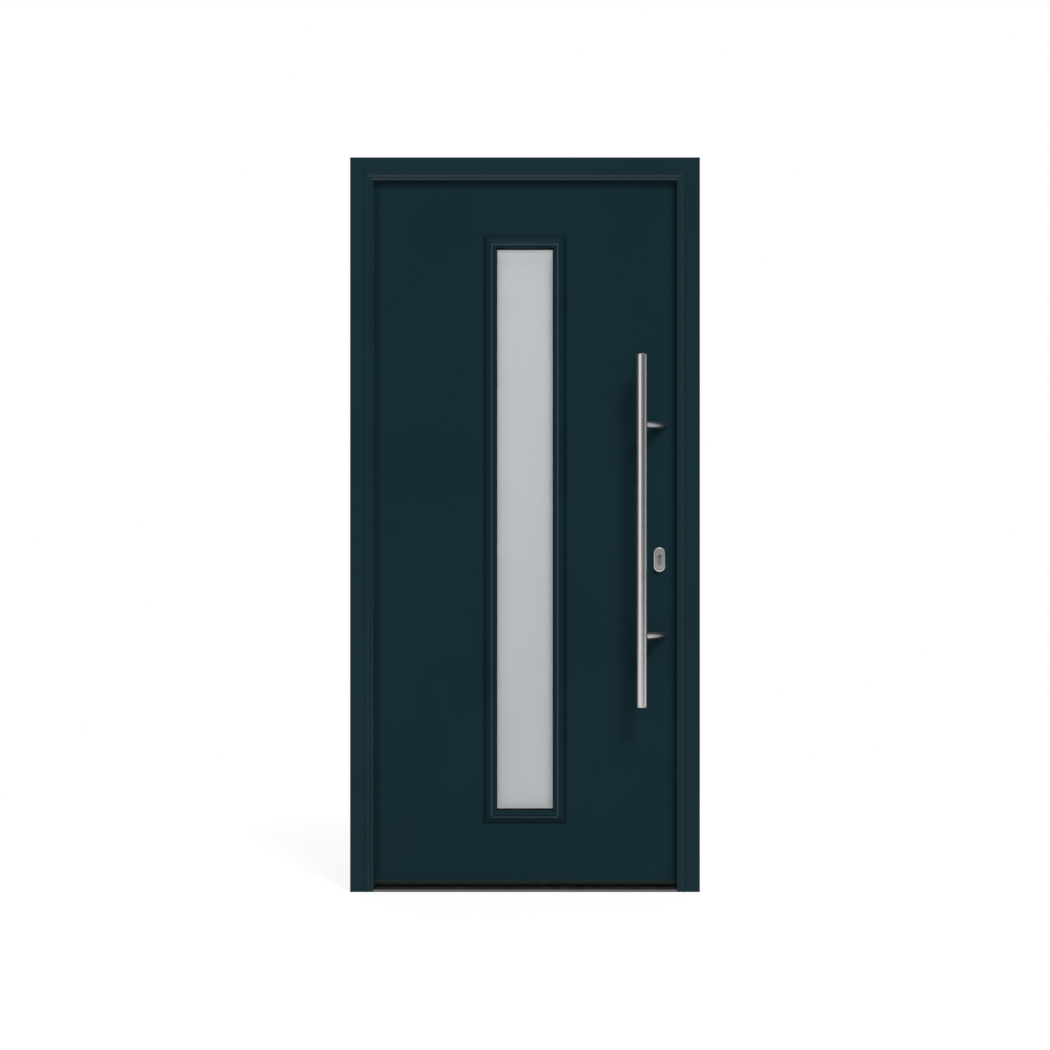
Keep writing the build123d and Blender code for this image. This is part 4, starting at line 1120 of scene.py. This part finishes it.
def buildScrewSet():
    group, tree, given = newGroup("screwSet", screwInputs, "Screws")
    shape = tree.add("GeometryNodeObjectInfo", None, {"Object": given["Screw"]}, "Geometry")
    aim = tree.add("GeometryNodeInputNamedAttribute", {"data_type": "FLOAT_VECTOR"}, {"Name": "aim"})
    facing = tree.add("FunctionNodeAlignRotationToVector", {"axis": "Z"}, {"Vector": aim})
    spin = tree.add("FunctionNodeRandomValue", {"data_type": "FLOAT"}, {
        2: 0.0, 3: math.tau, "Seed": given["Seed"]}, 1)
    local = tree.add("FunctionNodeAxisAngleToRotation", None, {"Axis": (0, 0, 1), "Angle": spin})
    turned = tree.add("FunctionNodeRotateRotation", {"rotation_space": "LOCAL"}, {0: facing, 1: local})
    placed = tree.add("GeometryNodeInstanceOnPoints", None, {
        "Points": given["Places"], "Instance": shape, "Rotation": turned})
    real = tree.add("GeometryNodeRealizeInstances", None, {"Geometry": placed})
    plated = tree.add("GeometryNodeSetMaterial", None, {"Geometry": real, "Material": given["Plating"]})
    tree.add("NodeGroupOutput", None, {"Screws": plated})
    return group


def offAxis(away, k):
    return Vector([0.0 if m == k else away[m] for m in range(3)]).length


def drawnScrews(node):  # where each drawn screw has the top of its head, and which way it points
    work = bmesh.new()
    work.from_mesh(nodes[node].data)
    bmesh.ops.remove_doubles(work, verts=work.verts, dist=weld["drawn"])
    left = set(work.verts)
    found = []
    while left:
        island, queue = set(), [left.pop()]
        while queue:
            vert = queue.pop()
            island.add(vert)
            near = [edge.other_vert(vert) for edge in vert.link_edges]
            queue += [other for other in near if other in left]
            left.difference_update(near)
        low = Vector([min(vert.co[k] for vert in island) for k in range(3)])
        high = Vector([max(vert.co[k] for vert in island) for k in range(3)])
        size = high - low
        k = max(range(3), key=lambda axis: size[axis])
        middle = (low + high) / 2
        wide = max(island, key=lambda vert: offAxis(vert.co - middle, k))
        way = 1 if wide.co[k] > middle[k] else -1
        aim = Vector([way if m == k else 0 for m in range(3)])
        top = Vector(middle)
        top[k] = high[k] if way > 0 else low[k]
        found.append((top, aim))
    work.free()
    return sorted(found, key=lambda item: tuple(round(value, 4) for value in item[0]))


def setScrews(node, group, shape, s):
    places = drawnScrews(node)
    mesh = bpy.data.meshes.new(node + "Set")
    mesh.from_pydata([top for top, aim in places], [], [])
    aims = mesh.attributes.new("aim", "FLOAT_VECTOR", "POINT")
    aims.data.foreach_set("vector", [value for top, aim in places for value in aim])
    piece = newPiece(node + "Set", mesh)
    modifier = piece.modifiers.new("screws", "NODES")
    modifier.node_group = group
    setInputs(modifier, {"Screw": shape, "Seed": s["seed"], "Plating": finishes["lock_steel"]})
    settle(piece)
    standFor(piece, node)
    return len(places)


screwSet = buildScrewSet()
shape = screwShape(screwHead)
count = sum(setScrews(node, screwSet, shape, screwHead) for node in ("frame_screws", "leaf_screws"))
bpy.data.objects.remove(shape)
print("screws set:", count)


# floor, world, lights and camera
stageLook = {
    "floorHalf": 9.0,
    "shadowShare": 0.22,
    "shadowFrom": 0.9,
    "shadowTo": 2.6,
    "cloud": 1.5,
    "pale": ((0.93, 0.93, 0.93, 1), (0.97, 0.97, 0.97, 1)),
    "unseen": (0.32, 0.32, 0.32, 1),
}


def lightPaths(tree):
    kinds = ("Is Camera Ray", "Is Transmission Ray", "Is Glossy Ray")
    return [tree.add("ShaderNodeLightPath", out=kind) for kind in kinds]


def buildFloor(s):
    half = s["floorHalf"]
    corners = [(-half, -half, 0), (half, -half, 0), (half, half, 0), (-half, half, 0)]
    mesh = bpy.data.meshes.new("floor")
    mesh.from_pydata(corners, [], [(0, 1, 2, 3)])
    finish = Finish("paleFloor")
    flat = finish.add("ShaderNodeVectorMath", {"operation": "LENGTH"}, {0: finish.place}, "Value")
    tint = finish.noise(finish.place, s["cloud"], detail=2.0)
    colour = finish.mix(tint, *s["pale"])
    glow = finish.remap(flat, s["shadowFrom"], s["shadowTo"], 1 - s["shadowShare"], 1.0)
    lit = finish.add("ShaderNodeBsdfDiffuse", None, {"Color": colour})
    bright = finish.add("ShaderNodeEmission", None, {"Color": white, "Strength": 1.0})
    seen = finish.add("ShaderNodeMixShader", None, {0: glow, 1: lit, 2: bright})
    unseen = finish.add("ShaderNodeBsdfDiffuse", None, {"Color": s["unseen"]})
    camera, through, glossy = lightPaths(finish)
    surface = finish.add("ShaderNodeMixShader", None, {0: camera + through + glossy, 1: unseen, 2: seen})
    finish.add("ShaderNodeOutputMaterial", None, {"Surface": surface})
    mesh.materials.append(finish.material)
    newPiece("floor", mesh)


flag = {
    "at": (2.45, -2.25),
    "half": 0.62,
    "foot": 0.01,
    "tall": 2.5,
    "colour": (0.02, 0.02, 0.02, 1),
    "weave": 300.0,
    "thread": 1.5,
    "rough": 0.9,
}


def buildFlag(s):  # a dark card that only shows as a stripe in polished metal
    x, y = s["at"]
    turn = Vector((-y, x)).normalized() * s["half"]
    left, right = (x - turn.x, y - turn.y), (x + turn.x, y + turn.y)
    corners = [(*left, s["foot"]), (*right, s["foot"]), (*right, s["tall"]), (*left, s["tall"])]
    mesh = bpy.data.meshes.new("flag")
    mesh.from_pydata(corners, [], [(0, 1, 2, 3)])
    finish = Finish("flagCloth")
    weave = finish.noise(finish.place, s["weave"], detail=2.0)
    colour = finish.mix(weave, s["colour"], shade(s["colour"], s["thread"]))
    mesh.materials.append(finish.close(Base_Color=colour, Roughness=s["rough"]))
    card = newPiece("flag", mesh)
    card.visible_camera = False
    card.visible_diffuse = False
    card.visible_transmission = False
    card.visible_shadow = False


room = {
    "dark": 0.09,
    "fill": 0.48,
    "glows": {
        "leftPanel": {"toward": (-0.63, -0.77, 0.04), "edge": 0.79, "core": 0.985, "level": 1.10},
        "rightPanel": {"toward": (0.98, 0.12, 0.05), "edge": 0.80, "core": 0.99, "level": 0.30},
        "ceiling": {"toward": (0.15, -0.50, 0.85), "edge": 0.62, "core": 0.97, "level": 1.2},
        "backdrop": {"toward": (0.0, 1.0, 0.1), "edge": 0.05, "core": 0.5, "level": 0.87},
    },
}


def buildWorld(s):
    world = bpy.data.worlds.new("studio")
    scene.world = world
    world.use_nodes = True
    tree = Tree(world.node_tree)
    camera, through, glossy = lightPaths(tree)
    way = tree.add("ShaderNodeTexCoord", out="Generated")
    mirrored = s["dark"]
    for look in s["glows"].values():
        toward = Vector(look["toward"]).normalized()
        sockets = {0: way, 1: toward}
        facing = tree.add("ShaderNodeVectorMath", {"operation": "DOT_PRODUCT"}, sockets, "Value")
        mirrored = mirrored + tree.remap(facing, look["edge"], look["core"], 0.0, look["level"])
    level = s["fill"] + glossy * (mirrored - s["fill"])
    strength = level + (camera + through) * (1 - level)
    back = tree.add("ShaderNodeBackground", None, {"Color": white, "Strength": strength})
    tree.add("ShaderNodeOutputWorld", None, {"Surface": back})


lamps = {
    "key": {"at": (8.4, -13.8, 22.6), "aim": (0.1, 0.0, 1.0), "size": (8.0, 8.0), "power": 6100.0},
    "frontFill": {"at": (0.9, -4.9, 1.6), "aim": (0.0, 0.0, 1.05), "size": (1.6, 2.4), "power": 38.0},
    "insideSoft": {"at": (-1.6, 4.2, 3.2), "aim": (0.0, 0.0, 1.05), "size": (2.4, 2.4), "power": 160.0},
}


def buildLamps(table):
    for name, look in table.items():
        lamp = bpy.data.lights.new(name, "AREA")
        lamp.shape = "RECTANGLE"
        lamp.size, lamp.size_y = look["size"]
        lamp.energy = look["power"]
        holder = bpy.data.objects.new(name, lamp)
        holder.location = look["at"]
        way = Vector(look["aim"]) - Vector(look["at"])
        holder.rotation_euler = way.to_track_quat("-Z", "Y").to_euler()
        holder.visible_glossy = False  # the room's glows are what shines in metal, paint and glass
        holder.visible_transmission = False
        scene.collection.objects.link(holder)


photoView = {
    "distance": 5.0,
    "height": 1.049,
    "fieldWidth": 3.001,
    "facePlane": -0.040,
    "sensor": 36.0,
}


def buildCamera(s):
    lens = bpy.data.cameras.new("photoCamera")
    lens.sensor_width = s["sensor"]
    lens.sensor_fit = "HORIZONTAL"
    lens.lens = lens.sensor_width * s["distance"] / s["fieldWidth"]
    camera = bpy.data.objects.new("photoCamera", lens)
    camera.location = (0.0, s["facePlane"] - s["distance"], s["height"])
    camera.rotation_euler = (math.radians(90), 0, 0)
    scene.collection.objects.link(camera)
    scene.camera = camera


buildFloor(stageLook)
buildFlag(flag)
buildWorld(room)
buildLamps(lamps)
buildCamera(photoView)
print("stage lit")
